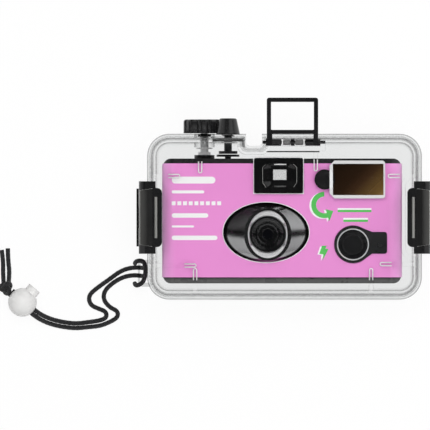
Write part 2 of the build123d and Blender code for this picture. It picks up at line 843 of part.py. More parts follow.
def make_latch_lever():
    """Finger lever of the right latch with the trunnions that carry its hook."""
    low = latch_centre_y - lever_half_width
    high = latch_centre_y + lever_half_width
    outer_x = latch_pivot_x + lever_plate_thickness
    plate_top = latch_pivot_z
    lever = block(latch_pivot_x, outer_x, low, high, lever_back_z, plate_top)
    lever += rod_y(lever_hub_radius, low, high, latch_pivot_x, latch_pivot_z)
    lever += rod_y(hook_eye_radius, low, high, hook_pivot_x, hook_pivot_z)
    lever += block(latch_pivot_x, outer_x + lever_lip, low, high, lever_back_z,
                   lever_back_z + lever_lip_height)
    lever = fillet(lever.edges().filter_by(Axis.Y).group_by(Axis.Z)[0], lever_lip / 2)
    ear_half = latch_ear_half_width + face_gap
    swing = latch_ear_radius + face_gap
    gap = rod_y(swing, latch_centre_y - ear_half, latch_centre_y + ear_half, latch_pivot_x, latch_pivot_z)
    gap += block(body_side, latch_pivot_x, latch_centre_y - ear_half, latch_centre_y + ear_half,
                 latch_pivot_z - swing, latch_pivot_z + swing)
    gap += block(latch_pivot_x, outer_x + overrun, latch_centre_y - ear_half, latch_centre_y + ear_half,
                 latch_pivot_z, latch_pivot_z + swing)
    lever -= gap
    lever -= rod_y(latch_pin_radius + running_fit, low - overrun, high + overrun,
                   latch_pivot_x, latch_pivot_z)
    arm_inner = hook_half_width - hook_arm_width
    for side in (-1, 1):
        near = latch_centre_y + side * lever_half_width
        far = latch_centre_y + side * hook_half_width
        lever += rod_y(trunnion_radius, min(near, far), max(near, far), hook_pivot_x, hook_pivot_z)
        hub_end = latch_centre_y + side * (arm_inner - face_gap)
        lever += rod_y(trunnion_radius + running_fit, min(near, hub_end), max(near, hub_end),
                       hook_pivot_x, hook_pivot_z)
    return lever


def hook_plan():
    """The hook seen from the front: a rounded lip between two shoulders that stand back."""
    reach = 2 * (hook_outer_x - hook_lip_x)
    lip = Pos(hook_outer_x, latch_centre_y) * RectangleRounded(
        reach, 2 * hook_lip_half_width, hook_lip_corner_radius)
    plan = plate(lip, hook_lip_bottom - overrun, hook_top + overrun)
    return plan + block(hook_shoulder_x, hook_outer_x, latch_low, latch_high,
                        hook_lip_bottom - overrun, hook_top + overrun)


def hook_lip():
    """The lip over the land, thinner towards its inner edge."""
    profile = Plane.XZ.offset(-latch_high) * Polygon(
        (hook_lip_x, hook_top), (hook_lip_x, hook_lip_bottom + hook_lip_wedge),
        (body_side, hook_lip_bottom), (hook_outer_x, hook_lip_bottom), (hook_outer_x, hook_top),
        align=None)
    return extrude(profile, latch_high - latch_low)


def make_latch_hook():
    """Wire-like bail of the right latch: two arms, a front plate and the lip over the ledge."""
    low, high = latch_low, latch_high
    side_strip = block(hook_inner_x, hook_outer_x, low, high, hook_pivot_z, hook_top)
    hook = side_strip + (hook_lip() & hook_plan())
    hook = fillet(hook.edges().filter_by(Axis.Y).group_by(Axis.Z)[-1].sort_by(Axis.X)[-1],
                  hook_corner_radius)
    hook += rod_y(hook_eye_radius, low, high, hook_pivot_x, hook_pivot_z)
    hook += block(hook_pivot_x, hook_outer_x, low, high, hook_pivot_z, hook_pivot_z + hook_eye_radius)
    arm_low = low + hook_arm_width
    arm_high = high - hook_arm_width
    hook -= block(body_side, hook_outer_x + overrun, arm_low, arm_high, 0, hook_plate_start_z)
    hook -= rod_y(trunnion_radius + running_fit, low - overrun, high + overrun, hook_pivot_x, hook_pivot_z)
    hook -= block(hook_slot_start_x, hook_slot_end_x, latch_centre_y - hook_slot_half_width,
                  latch_centre_y + hook_slot_half_width, hook_top - hook_slot_depth, hook_top + overrun)
    return hook


def make_latch_roller():
    """Steel rod lying in the slot of the right hook's lip."""
    x = (hook_slot_start_x + hook_slot_end_x) / 2
    z = hook_top - hook_slot_depth + roller_radius
    return rod_y(roller_radius, latch_centre_y - hook_slot_half_width,
                 latch_centre_y + hook_slot_half_width, x, z)


def make_latch_pins():
    """The two steel pins of the levers."""
    pin = rod_y(latch_pin_radius, latch_centre_y - lever_half_width,
                latch_centre_y + lever_half_width, latch_pivot_x, latch_pivot_z)
    return Compound(children=[pin, mirrored(pin)])


def camera_tube(inset, y0, y1):
    """The camera's outline seen from above, drawn in by the inset, between two heights."""
    shape = Pos(camera_centre_x, camera_centre_z) * RectangleRounded(
        camera_width - 2 * inset, camera_thickness - 2 * inset, camera_end_radius - inset)
    return side_profile(shape, y0, y1)


def sight_block(margin, z0, z1):
    """The straight way that the eye looks through, widened by a margin."""
    half_width = eyepiece_width / 2 + margin
    half_height = eyepiece_height / 2 + margin
    return block(eyepiece_x - half_width, eyepiece_x + half_width,
                 eyepiece_y - half_height, eyepiece_y + half_height, z0, z1)


def camera_outline(inset):
    """The camera's outline seen from the front, with its rounded corners, drawn in at its sides."""
    middle_y = (camera_top + camera_bottom) / 2
    return plate(Pos(camera_centre_x, middle_y) * RectangleRounded(
        camera_width - 2 * inset, camera_top - camera_bottom, camera_corner_radius), 0, case_depth)


def camera_case():
    """The hollow camera body before it is split into two covers."""
    body = camera_tube(label_thickness, camera_bottom, camera_top) & camera_outline(label_thickness)
    inset = label_thickness + camera_wall
    body -= camera_tube(inset, camera_bottom + camera_wall, camera_top - camera_wall)
    body -= rod_y(wheel_hub_radius + face_gap, camera_top - camera_wall - overrun, camera_top + overrun,
                  winder_x, winder_z)
    body -= rod_y(counter_window_radius, camera_top - camera_wall - overrun, camera_top + overrun,
                  counter_x, counter_z - counter_window_offset)
    return body


def make_camera_front_cover():
    """Black front moulding with its lens, sight, flash and button openings."""
    half = block(-rim_width, rim_width, -rim_height, rim_height, camera_split, case_depth)
    cover = camera_case() & half
    through = (camera_inner_front - overrun, camera_front + overrun)
    cover -= rod_z(barrel_throat_radius, *through, lens_x, lens_y)
    cover -= sight_block(sight_wall + running_fit, *through)
    cover -= block(flash_left, flash_right, flash_bottom, flash_top, *through)
    cover -= rod_z(flash_button_radius + face_gap, *through, flash_button_x, flash_button_y)
    cover -= rod_y(release_stem_radius + running_fit, camera_top - camera_wall - overrun,
                   camera_top + overrun, shutter_x, release_z)
    board_front = board_z + board_thickness
    for x in (board_left + board_post_inset, board_right - board_post_inset):
        for y in (board_low_y + board_post_inset, board_high_y - board_post_inset):
            cover += rod_z(board_post_radius, board_front, camera_inner_front + running_fit, x, y)
    pin_x = lens_x + blade_pivot_offset
    cover += rod_z(blade_pin_radius, blade_z, camera_inner_front + running_fit, pin_x, lens_y)
    return cover


def make_camera_back_cover():
    """Black back moulding with the eyepiece opening and the slot for the wheel."""
    half = block(-rim_width, rim_width, -rim_height, rim_height, 0, camera_split)
    cover = camera_case() & half
    cover -= sight_block(0, 0, camera_inner_back + overrun)
    cover -= wheel_slot()
    shelf = wheel_low_y - loose_fit
    floor = camera_tube(label_thickness + camera_wall / 2, shelf - camera_wall, shelf)
    floor = floor & block(-rim_width, partition_left_x, -rim_height, rim_height, 0, camera_split)
    floor -= rod_y(wheel_fork_radius + face_gap, shelf - camera_wall - overrun, shelf + overrun,
                   winder_x, winder_z)
    return cover + floor


def wheel_slot():
    """The slot in the back where a thumb reaches the wheel."""
    half = wheel_radius / 2
    return block(winder_x - half, winder_x + half, wheel_low_y - face_gap, wheel_high_y + face_gap,
                 0, camera_inner_back + overrun)


def make_camera_label():
    """Printed card wrapped round the camera, cut out for what stands through it."""
    label = camera_tube(0, label_bottom, label_top) & camera_outline(0)
    label -= camera_tube(label_thickness, label_bottom - overrun, label_top + overrun) & camera_outline(
        label_thickness)
    low, high = camera_skin - overrun, camera_front + overrun
    label -= plate(Pos(surround_x, surround_y) * Ellipse(surround_half_width, surround_half_height),
                   low, high)
    label -= block(finder_bezel_left, finder_bezel_right, finder_bezel_bottom, camera_top, low, high)
    label -= block(flash_left, flash_right, flash_bottom, flash_top, low, high)
    label -= rod_z(flash_button_radius + face_gap, low, high, flash_button_x, flash_button_y)
    label -= rod_z(gel_pin_radius, low, high, gel_pivot_x, gel_pivot_y)
    label -= sight_block(0, 0, camera_inner_back)
    return label - wheel_slot()


def make_camera_chassis():
    """Film gate, light tunnel, chamber partitions and the sight tube."""
    gate_z = film_z + film_thickness + loose_fit
    gate_top = gate_z + chassis_plate
    chassis = block(partition_left_x, partition_right_x, camera_bottom + camera_wall + loose_fit,
                    partition_top_y, gate_z, gate_top)
    for x0, x1 in ((partition_left_x, partition_left_x + partition_thickness),
                   (partition_right_x - partition_thickness, partition_right_x)):
        chassis += block(x0, x1, camera_bottom + camera_wall + loose_fit, partition_top_y,
                         gate_z, camera_inner_front - loose_fit)
    wall = chassis_plate
    outer = [Plane((lens_x, lens_y, gate_z)) * Rectangle(2 * (gate_half_width - loose_fit),
                                                         2 * (gate_half_height + wall)),
             Plane((lens_x, lens_y, tunnel_front)) * Rectangle(4 * barrel_throat_radius,
                                                               4 * barrel_throat_radius)]
    chassis += loft(outer)
    inner = [Plane((lens_x, lens_y, gate_z - overrun)) * Rectangle(2 * (gate_half_width - wall),
                                                                   2 * gate_half_height),
             Plane((lens_x, lens_y, tunnel_front - overrun)) * Rectangle(2 * barrel_throat_radius,
                                                                         2 * barrel_throat_radius)]
    chassis -= loft(inner)
    chassis -= rod_z(barrel_step_radius, gate_top, tunnel_front + overrun, lens_x, lens_y)
    tube = sight_block(sight_wall, camera_inner_back + running_fit, camera_skin)
    chassis += tube
    chassis += block(eyepiece_x - sight_wall, eyepiece_x + sight_wall, partition_top_y - sight_wall,
                     eyepiece_y - eyepiece_height / 2 - sight_wall + running_fit, gate_z, gate_top)
    chassis -= sight_block(0, 0, camera_front)
    return chassis - rod_z(blade_pin_radius + running_fit, gate_top, case_depth,
                           lens_x + blade_pivot_offset, lens_y)


def make_lens_surround():
    """Oval dome round the lens, with an oval seat for the bright ring."""
    rim_top = camera_skin + surround_rim
    base = Pos(surround_x, surround_y) * Ellipse(surround_half_width, surround_half_height)
    dome = plate(base, camera_skin, rim_top)
    crown = Pos(lens_x, lens_y, surround_top) * Ellipse(surround_top_half_width, surround_top_half_height)
    dome += loft([Pos(0, 0, rim_top) * base, crown])
    return dome - plate(Pos(lens_x, lens_y) * Ellipse(ring_half_width, ring_half_height),
                        camera_skin - overrun, surround_top + overrun)


def make_lens_ring():
    """Bright oval ring between the surround and the barrel."""
    ring = plate(Pos(lens_x, lens_y) * Ellipse(ring_half_width, ring_half_height), camera_skin, ring_top)
    return ring - rod_z(barrel_radius, camera_skin - overrun, ring_top + overrun, lens_x, lens_y)


def make_lens_barrel():
    """Black barrel with a stepped cone down to the lens."""
    barrel = rod_z(barrel_radius, camera_skin, barrel_top, lens_x, lens_y)
    cone_low = barrel_top - barrel_cone_depth
    barrel -= Pos(lens_x, lens_y, (cone_low + barrel_top) / 2) * Cone(
        barrel_throat_radius, barrel_mouth_radius, barrel_cone_depth)
    barrel -= rod_z(barrel_hole_radius, camera_skin - overrun, barrel_top, lens_x, lens_y)
    seat_top = camera_skin + element_thickness + element_crown
    return barrel - rod_z(element_radius, camera_skin - overrun, seat_top, lens_x, lens_y)


def make_lens_element():
    """Single moulded lens, flat behind and crowned in front."""
    low = camera_skin
    edge = low + element_thickness
    sphere_radius = (element_radius ** 2 + element_crown ** 2) / (2 * element_crown)
    lens = rod_z(element_radius, low, edge + element_crown, lens_x, lens_y)
    return lens & (Pos(lens_x, lens_y, edge + element_crown - sphere_radius) * Sphere(sphere_radius))


def make_shutter_blade():
    """Thin leaf that swings off the hole behind the lens."""
    pivot_x = lens_x + blade_pivot_offset
    leaf = rod_z(barrel_step_radius + overrun, blade_z, blade_z + blade_thickness, lens_x, lens_y)
    arm = block(lens_x, pivot_x, lens_y - blade_hub_radius, lens_y + blade_hub_radius,
                blade_z, blade_z + blade_thickness)
    hub = rod_z(blade_hub_radius, blade_z, blade_z + blade_thickness, pivot_x, lens_y)
    hole = rod_z(blade_pin_radius + running_fit, blade_z - overrun, case_depth, pivot_x, lens_y)
    return leaf + arm + hub - hole


def make_viewfinder_bezel():
    """Black window surround with an eight-sided funnel down to the sight tube."""
    width = finder_bezel_right - finder_bezel_left
    height = finder_bezel_top - finder_bezel_bottom
    centre = Pos((finder_bezel_left + finder_bezel_right) / 2, (finder_bezel_top + finder_bezel_bottom) / 2)
    bezel = plate(centre * RectangleRounded(width, height, finder_bezel_radius),
                  camera_skin, finder_bezel_front)
    floor = camera_skin + sight_lens_thickness + loose_fit
    mouth = Pos((octagon_left + octagon_right) / 2, (octagon_top + octagon_bottom) / 2,
                finder_bezel_front) * Rectangle(octagon_right - octagon_left, octagon_top - octagon_bottom)
    mouth = chamfer(mouth.vertices(), octagon_chamfer)
    throat = Pos(eyepiece_x, eyepiece_y, floor) * Rectangle(
        eyepiece_width + 2 * eyepiece_frame, eyepiece_height + 2 * eyepiece_frame)
    throat = chamfer(throat.vertices(), eyepiece_frame / 2)
    bezel -= loft([throat, mouth])
    bezel -= sight_block(0, camera_skin - overrun, finder_bezel_front)
    return bezel - sight_block(eyepiece_frame / 2, camera_skin - overrun,
                               camera_skin + sight_lens_thickness)


def make_viewfinder_front_lens():
    """Clear window in the bezel, hollowed like the weak lens that it is."""
    lens = sight_block(eyepiece_frame / 2, camera_skin, camera_skin + sight_lens_thickness)
    hollow = Pos(eyepiece_x, eyepiece_y,
                 camera_skin + sight_lens_thickness / 2 + sight_lens_curve) * Sphere(sight_lens_curve)
    return lens - hollow


def make_viewfinder_rear_lens():
    """Clear eyepiece in the back cover."""
    return sight_block(0, camera_inner_back - camera_wall, camera_inner_back)


def make_flash_window():
    """Clear window of the flash, with fine ribs on its inner face."""
    window = block(flash_left, flash_right, flash_bottom, flash_top, camera_inner_front, flash_window_front)
    pitch = (flash_right - flash_left) / flash_rib_count
    for n in range(1, flash_rib_count):
        window -= rod_y(reflector_wall / 2, flash_bottom + reflector_wall, flash_top - reflector_wall,
                        flash_left + n * pitch, camera_inner_front)
    return window


def make_flash_reflector():
    """Bright tray behind the window, sloped towards the tube."""
    high = camera_inner_front
    low = high - reflector_depth
    centre_x = (flash_left + flash_right) / 2
    centre_y = (flash_bottom + flash_top) / 2
    width = flash_right - flash_left
    height = flash_top - flash_bottom
    shell = loft([Pos(centre_x, centre_y, high) * Rectangle(width, height),
                  Pos(centre_x, centre_y, low) * Rectangle(width - reflector_slope,
                                                           height - 2 * reflector_slope)])
    wall = 2 * reflector_wall
    shell -= loft([Pos(centre_x, centre_y, high) * Rectangle(width - wall, height - wall),
                   Pos(centre_x, centre_y, low + reflector_wall) * Rectangle(
                       width - reflector_slope - wall, height - 2 * reflector_slope - wall)])
    return shell - rod_x(tube_radius, flash_left - overrun, flash_right + overrun, centre_y,
                         low + reflector_wall + tube_radius)


def make_flash_tube():
    """Glass flash tube lying across the tray."""
    centre_y = (flash_bottom + flash_top) / 2
    z = camera_inner_front - reflector_depth + reflector_wall + tube_radius
    return rod_x(tube_radius, flash_left + reflector_wall, flash_right - reflector_wall, centre_y, z)


def gel_outline():
    """A colour filter seen from the front, with the arm that it swings on."""
    left, right = gel_left, flash_right
    top, bottom = gel_top_edge, gel_bottom_edge
    sheet = Pos((left + right) / 2, (top + bottom) / 2) * Rectangle(right - left, top - bottom)
    corners = sheet.vertices().sort_by(Axis.X)
    sheet = chamfer(corners[:2], gel_chamfer)
    sheet = fillet(sheet.vertices().sort_by(Axis.X)[-2:], gel_corner_radius)
    arm = Pos(gel_pivot_x, gel_pivot_y) * Circle(gel_arm_radius)
    neck = Pos((gel_pivot_x + left) / 2 + gel_chamfer / 2, gel_pivot_y) * Rectangle(
        left - gel_pivot_x + gel_chamfer, 2 * gel_arm_radius)
    outline = sheet + arm + neck
    return outline - Pos(gel_pivot_x, gel_pivot_y) * Circle(gel_pin_radius + running_fit)


def make_gel(level):
    """One colour filter, the level counted from the camera outwards."""
    low = gel_levels[level]
    return plate(gel_outline(), low, low + gel_thickness)


def make_gel_frame():
    """Clear rim on the outermost filter, bridging the pivot cap."""
    left, right = gel_left, flash_right
    top, bottom = gel_top_edge, gel_bottom_edge
    sheet = Pos((left + right) / 2, (top + bottom) / 2) * Rectangle(right - left, top - bottom)
    sheet = chamfer(sheet.vertices().sort_by(Axis.X)[:2], gel_chamfer)
    sheet = fillet(sheet.vertices().sort_by(Axis.X)[-2:], gel_corner_radius)
    low = gel_levels[2] + gel_thickness
    bridge = gel_cap_top + gel_gap
    high = bridge + gel_rim_bridge
    rim = plate(sheet, low, high)
    rim -= block(left + gel_rim, right - gel_rim / 2, bottom + gel_rim, top - gel_rim, low - overrun,
                 high + overrun)
    step = bridge + gel_rim_bridge / 2
    rim -= block(left + 2 * gel_rim + gel_cap_radius, right + overrun, bottom - overrun, top + overrun,
                 step, high + overrun)
    return rim - rod_z(gel_cap_radius + gel_gap, low - overrun, bridge, gel_pivot_x, gel_pivot_y)


def make_gel_pivot():
    """Pin and round cap that the three filters turn on."""
    pivot = rod_z(gel_pin_radius, camera_skin, gel_cap_bottom + running_fit, gel_pivot_x, gel_pivot_y)
    pivot += rod_z(gel_cap_radius, gel_cap_bottom, gel_cap_top, gel_pivot_x, gel_pivot_y)
    return pivot


def make_flash_button():
    """Dished round button with the stem that closes the switch."""
    low = flash_button_top - flash_button_thickness
    button = rod_z(flash_button_radius, low, flash_button_top, flash_button_x, flash_button_y)
    button -= Pos(flash_button_x, flash_button_y, flash_button_top - flash_button_dish / 2) * Cone(
        flash_button_dish_radius - flash_button_dish, flash_button_dish_radius, flash_button_dish)
    return button + rod_z(flash_button_stem_radius, flash_button_stem_bottom, low,
                          flash_button_x, flash_button_y)


def make_flash_button_bezel():
    """Ring round the flash button with its arm to the right."""
    ring = Pos(flash_button_x, flash_button_y) * Circle(flash_bezel_radius)
    angle = math.radians(flash_arm_neck_angle)
    shoulder_x = flash_button_x + flash_bezel_radius * math.cos(angle)
    shoulder_rise = flash_bezel_radius * math.sin(angle)
    neck_x = flash_button_x + flash_arm_neck
    arm = make_face(Polyline(
        (shoulder_x, flash_button_y - shoulder_rise), (neck_x, flash_arm_bottom),
        (flash_arm_right - flash_arm_shoulder, flash_arm_bottom),
        (flash_arm_right, flash_arm_bottom + flash_arm_shoulder),
        (flash_arm_right, flash_arm_top - flash_arm_shoulder),
        (flash_arm_right - flash_arm_shoulder, flash_arm_top), (neck_x, flash_arm_top),
        (shoulder_x, flash_button_y + shoulder_rise), close=True))
    hole = Pos(flash_button_x, flash_button_y) * Circle(flash_button_radius + face_gap)
    return plate(ring + arm - hole, camera_front, flash_bezel_top)


def make_release_button():
    """The camera's own shutter button, pressed by the rod above it."""
    low = camera_top + release_dome
    button = rod_y(release_radius, low, release_top, shutter_x, release_z)
    button = fillet(button.edges().filter_by(GeomType.CIRCLE).sort_by(Axis.Y)[-1], release_dome / 2)
    return button + rod_y(release_stem_radius, camera_top - release_stem_length, low, shutter_x, release_z)


def make_advance_wheel():
    """Toothed thumbwheel with the slotted hub and the fork for the cartridge spool."""
    wheel = rod_y(wheel_radius, wheel_low_y, wheel_high_y, winder_x, winder_z)
    for n in range(wheel_teeth):
        angle = math.radians(360 * n / wheel_teeth)
        wheel -= rod_y(wheel_tooth_depth, wheel_low_y - overrun, wheel_high_y + overrun,
                       winder_x + wheel_radius * math.cos(angle), winder_z + wheel_radius * math.sin(angle))
    wheel += rod_y(wheel_hub_radius, wheel_high_y, wheel_hub_top, winder_x, winder_z)
    half = drive_blade_thickness / 2 + loose_fit
    reach = drive_blade_width / 2 + loose_fit
    wheel -= block(winder_x - reach, winder_x + reach, wheel_hub_top - wheel_hub_slot_depth,
                   wheel_hub_top + overrun, winder_z - half, winder_z + half)
    return wheel + rod_y(wheel_fork_radius, spool_top, wheel_low_y, winder_x, winder_z)


def make_counter_disc():
    """Numbered disc under the little window in the top."""
    high = camera_top - camera_wall - loose_fit
    disc = rod_y(counter_radius, high - counter_thickness, high, counter_x, counter_z)
    return disc + rod_y(counter_pin_radius, wheel_low_y, high, counter_x, counter_z)


def make_film_cartridge():
    """Hollow film can with a lipped slot and holes for its spool."""
    can = rod_y(cartridge_radius, cartridge_low_y, cartridge_high_y, winder_x, winder_z)
    can -= rod_y(cartridge_radius - cartridge_wall, cartridge_low_y + cartridge_wall,
                 cartridge_high_y - cartridge_wall, winder_x, winder_z)
    can -= block(winder_x, winder_x + cartridge_radius, film_low_y - face_gap, film_high_y + face_gap,
                 film_z - 2 * loose_fit, film_z + 2 * loose_fit)
    return can - rod_y(spool_core_radius + running_fit, cartridge_low_y - overrun,
                       cartridge_high_y + overrun, winder_x, winder_z)


def make_cartridge_spool():
    """Spool core of the cartridge with the film wound on it."""
    spool = rod_y(spool_core_radius, cartridge_low_y, spool_top, winder_x, winder_z)
    spool += rod_y(spool_film_radius, film_low_y, film_high_y, winder_x, winder_z)
    return spool + rod_y(spool_end_radius, cartridge_high_y + face_gap, spool_top, winder_x, winder_z)


def make_film_supply_roll():
    """Supply spool with its flanges and the roll of unexposed film."""
    roll = rod_y(supply_radius, film_low_y, film_high_y, supply_x, supply_z)
    for y0 in (film_low_y - loose_fit - supply_flange_thickness, film_high_y + loose_fit):
        roll += rod_y(supply_flange_radius, y0, y0 + supply_flange_thickness, supply_x, supply_z)
    roll += rod_y(supply_core_radius, film_high_y, film_high_y + supply_flange_thickness, supply_x, supply_z)
    low = camera_bottom + camera_wall + loose_fit
    roll += rod_y(supply_core_radius, low, film_low_y, supply_x, supply_z)
    return roll


def make_film_strip():
    """The length of film that lies behind the gate."""
    return block(winder_x + spool_core_radius, supply_x, film_low_y, film_high_y,
                 film_z - loose_fit, film_z - loose_fit + film_thickness)


def make_battery():
    """One AA cell for the flash."""
    high = battery_low_y + battery_length
    cell = rod_y(battery_radius, battery_low_y, high, battery_x, battery_z)
    return cell + rod_y(battery_button_radius, high, high + battery_button_height, battery_x, battery_z)


def make_capacitor():
    """Flash capacitor beside the battery."""
    return rod_y(capacitor_radius, capacitor_low_y, capacitor_low_y + capacitor_length,
                 capacitor_x, capacitor_z)


def make_circuit_board():
    """Flash board on four posts behind the button."""
    return block(board_left, board_right, board_low_y, board_high_y, board_z, board_z + board_thickness)


def corner_radii(route):
    """The largest arc that each corner of a route allows."""
    radii = []
    for before, here, after in zip(route, route[1:], route[2:]):
        first = Vector(*here) - Vector(*before)
        second = Vector(*after) - Vector(*here)
        half_turn = math.radians(first.get_angle(second)) / 2
        radii.append(0.45 * min(first.length, second.length) / math.tan(half_turn))
    return radii


def cord_tube(name, route):
    """A cord of straight runs joined by tangent arcs."""
    radii = corner_radii(route)
    path = FilletPolyline(*route, radius=radii)
    section = Plane(origin=path @ 0, z_dir=path % 0) * Circle(cord_radius)
    tube = sweep(section, path=path)
    expected = math.pi * cord_radius ** 2 * path.length
    print(name, "length", round(path.length, 1), "least radius", round(min(radii), 2),
          "volume share", round(tube.volume / expected, 4))
    return tube


def lock_frame():
    """The cord lock's own frame: X along the cord, Y along the plunger."""
    return Pos(lock_x, lock_y, lock_z) * Rot(0, 0, lock_heading)


def make_strap_knot():
    """The overhand knot and its two loose tails."""
    reach = lock_radius + face_gap + knot_radius
    heading = math.radians(lock_heading)
    centre = Pos(lock_x + reach * math.cos(heading), lock_y + reach * math.sin(heading),
                 lock_z - cord_radius)
    knot = centre * Sphere(knot_radius)
    return Compound(children=[knot + cord_tube("tail a", tail_a_route) + cord_tube("tail b", tail_b_route)])


def make_lock_ball():
    """White ball of the cord lock, bored for the cords and for its plunger."""
    ball = Sphere(lock_radius)
    ball -= Rot(0, 90, 0) * Box(lock_bore_height, lock_bore_width, 2 * lock_radius + overrun)
    well = Cylinder(lock_plunger_radius + loose_fit / 2, lock_well_depth + lock_radius + overrun)
    shift = (lock_radius + overrun - lock_well_depth) / 2
    ball -= Pos(0, -shift, 0) * Rot(90, 0, 0) * well
    return lock_frame() * ball


def make_lock_plunger():
    """Plunger with the slot that pinches the cords."""
    length = lock_plunger_out + lock_plunger_in
    plunger = Pos(0, -(lock_plunger_out - lock_plunger_in) / 2, 0) * Rot(90, 0, 0) * Cylinder(
        lock_plunger_radius, length)
    slot = Pos(0, -(lock_slot_out - lock_slot_in) / 2, 0) * Box(
        2 * lock_plunger_radius + overrun, lock_slot_in + lock_slot_out, lock_bore_height)
    return lock_frame() * (plunger - slot)


def make_lock_spring():
    """Spring behind the plunger."""
    length = lock_well_depth - lock_plunger_in - 2 * running_fit
    spring = coil_spring(lock_spring_radius, lock_spring_wire, lock_spring_turns, length)
    return lock_frame() * (Pos(0, lock_well_depth - running_fit, 0) * Rot(90, 0, 0) * spring)


def export(name, shape):
    """Write one sub-part to its own file."""
    export_step(shape, "parts/" + name + ".step")


def main():
    """Build every sub-part and write it."""
    os.makedirs("parts", exist_ok=True)
    lever = make_latch_lever()
    hook = make_latch_hook()
    roller = make_latch_roller()
    pieces = {
        "case_rear_shell": make_rear_shell(),
        "case_front_shell": make_front_shell(),
        "case_gasket": make_gasket(),
        "winder_knob": make_winder_knob(),
        "winder_shaft": make_winder_shaft(),
        "winder_oring": make_winder_oring(),
        "winder_clip": make_winder_clip(),
        "shutter_plunger_cap": make_plunger_cap(),
        "shutter_plunger_rod": make_plunger_rod(),
        "shutter_plunger_spring": make_plunger_spring(),
        "shutter_plunger_seal": make_plunger_seal(),
        "shutter_plunger_clip": make_plunger_clip(),
        "finder_frame": make_finder_frame(),
        "finder_hinge_pin": make_finder_pin(),
        "latch_lever_right": lever,
        "latch_lever_left": mirrored(lever),
        "latch_hook_right": hook,
        "latch_hook_left": mirrored(hook),
        "latch_roller_right": roller,
        "latch_roller_left": mirrored(roller),
        "latch_pivot_pins": make_latch_pins(),
        "strap_hitch": cord_tube("hitch", hitch_route),
        "strap_strand_a": cord_tube("strand a", strand_a_route),
        "strap_strand_b": cord_tube("strand b", strand_b_route),
        "strap_knot": make_strap_knot(),
        "cord_lock_ball": make_lock_ball(),
        "cord_lock_plunger": make_lock_plunger(),
        "cord_lock_spring": make_lock_spring(),
        "camera_front_cover": make_camera_front_cover(),
        "camera_back_cover": make_camera_back_cover(),
        "camera_wrap_label": make_camera_label(),
        "camera_chassis": make_camera_chassis(),
        "lens_surround": make_lens_surround(),
        "lens_ring": make_lens_ring(),
        "lens_barrel": make_lens_barrel(),
        "lens_element": make_lens_element(),
        "shutter_blade": make_shutter_blade(),
        "viewfinder_bezel": make_viewfinder_bezel(),
        "viewfinder_front_lens": make_viewfinder_front_lens(),
        "viewfinder_rear_lens": make_viewfinder_rear_lens(),
        "flash_window": make_flash_window(),
        "flash_reflector": make_flash_reflector(),
        "flash_tube": make_flash_tube(),
        "gel_cyan": make_gel(0),
        "gel_magenta": make_gel(1),
        "gel_yellow": make_gel(2),
        "gel_frame": make_gel_frame(),
        "gel_pivot": make_gel_pivot(),
        "flash_button": make_flash_button(),
        "flash_button_bezel": make_flash_button_bezel(),
        "release_button": make_release_button(),
        "advance_wheel": make_advance_wheel(),
        "frame_counter_disc": make_counter_disc(),
        "film_cartridge": make_film_cartridge(),
        "cartridge_spool": make_cartridge_spool(),
        "film_supply_roll": make_film_supply_roll(),
        "film_strip": make_film_strip(),
        "battery": make_battery(),
        "flash_capacitor": make_capacitor(),
        "circuit_board": make_circuit_board(),
    }
    for name, shape in pieces.items():
        export(name, shape)


main()
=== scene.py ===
import math

import bmesh
import bpy
from mathutils import Matrix, Vector
from mathutils.geometry import tessellate_polygon


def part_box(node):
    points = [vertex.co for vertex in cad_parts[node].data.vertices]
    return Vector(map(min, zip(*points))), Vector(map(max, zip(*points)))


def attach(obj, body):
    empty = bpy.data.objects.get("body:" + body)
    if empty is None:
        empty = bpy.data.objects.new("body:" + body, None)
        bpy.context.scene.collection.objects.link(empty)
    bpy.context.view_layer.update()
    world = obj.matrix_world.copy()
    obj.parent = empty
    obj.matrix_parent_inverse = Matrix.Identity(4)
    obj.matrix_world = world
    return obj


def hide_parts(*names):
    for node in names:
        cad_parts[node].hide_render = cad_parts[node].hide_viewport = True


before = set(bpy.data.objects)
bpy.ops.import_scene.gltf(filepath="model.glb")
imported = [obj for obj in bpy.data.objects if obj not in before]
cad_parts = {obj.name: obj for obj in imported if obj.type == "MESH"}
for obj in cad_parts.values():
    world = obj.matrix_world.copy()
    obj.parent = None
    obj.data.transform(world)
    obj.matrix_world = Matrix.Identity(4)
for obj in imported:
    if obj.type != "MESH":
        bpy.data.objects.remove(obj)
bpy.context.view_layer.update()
scene = bpy.context.scene

# Everything is in metres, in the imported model's frame: X right, Y up the case, Z out of the lens.

# Camera of the photograph: what it sees at the height of the printed label, and from how far
view_width = 0.2114
view_centre_x = -0.0342
view_centre_y = 0.00084
view_distance = 6.0
sensor_width = 36.0
nearest_seen = 0.06
furthest_seen = 60.0

# Strap: routes repeated from the part's source, and how its cord is plaited
cord_radius = 0.0011
cord_strand_count = 8
cord_plait_pitch = 0.0045
cord_plait_share = 0.05
cord_fluff = 0.00004
cord_ring_step = 0.00028
cord_sides = 32
cord_least_rings = 8
cord_uv_per_metre = 1000
cord_dark = (0.003, 0.003, 0.0035)
cord_light = (0.016, 0.016, 0.018)
cord_rough = (0.55, 0.85)
route_resolution = 14

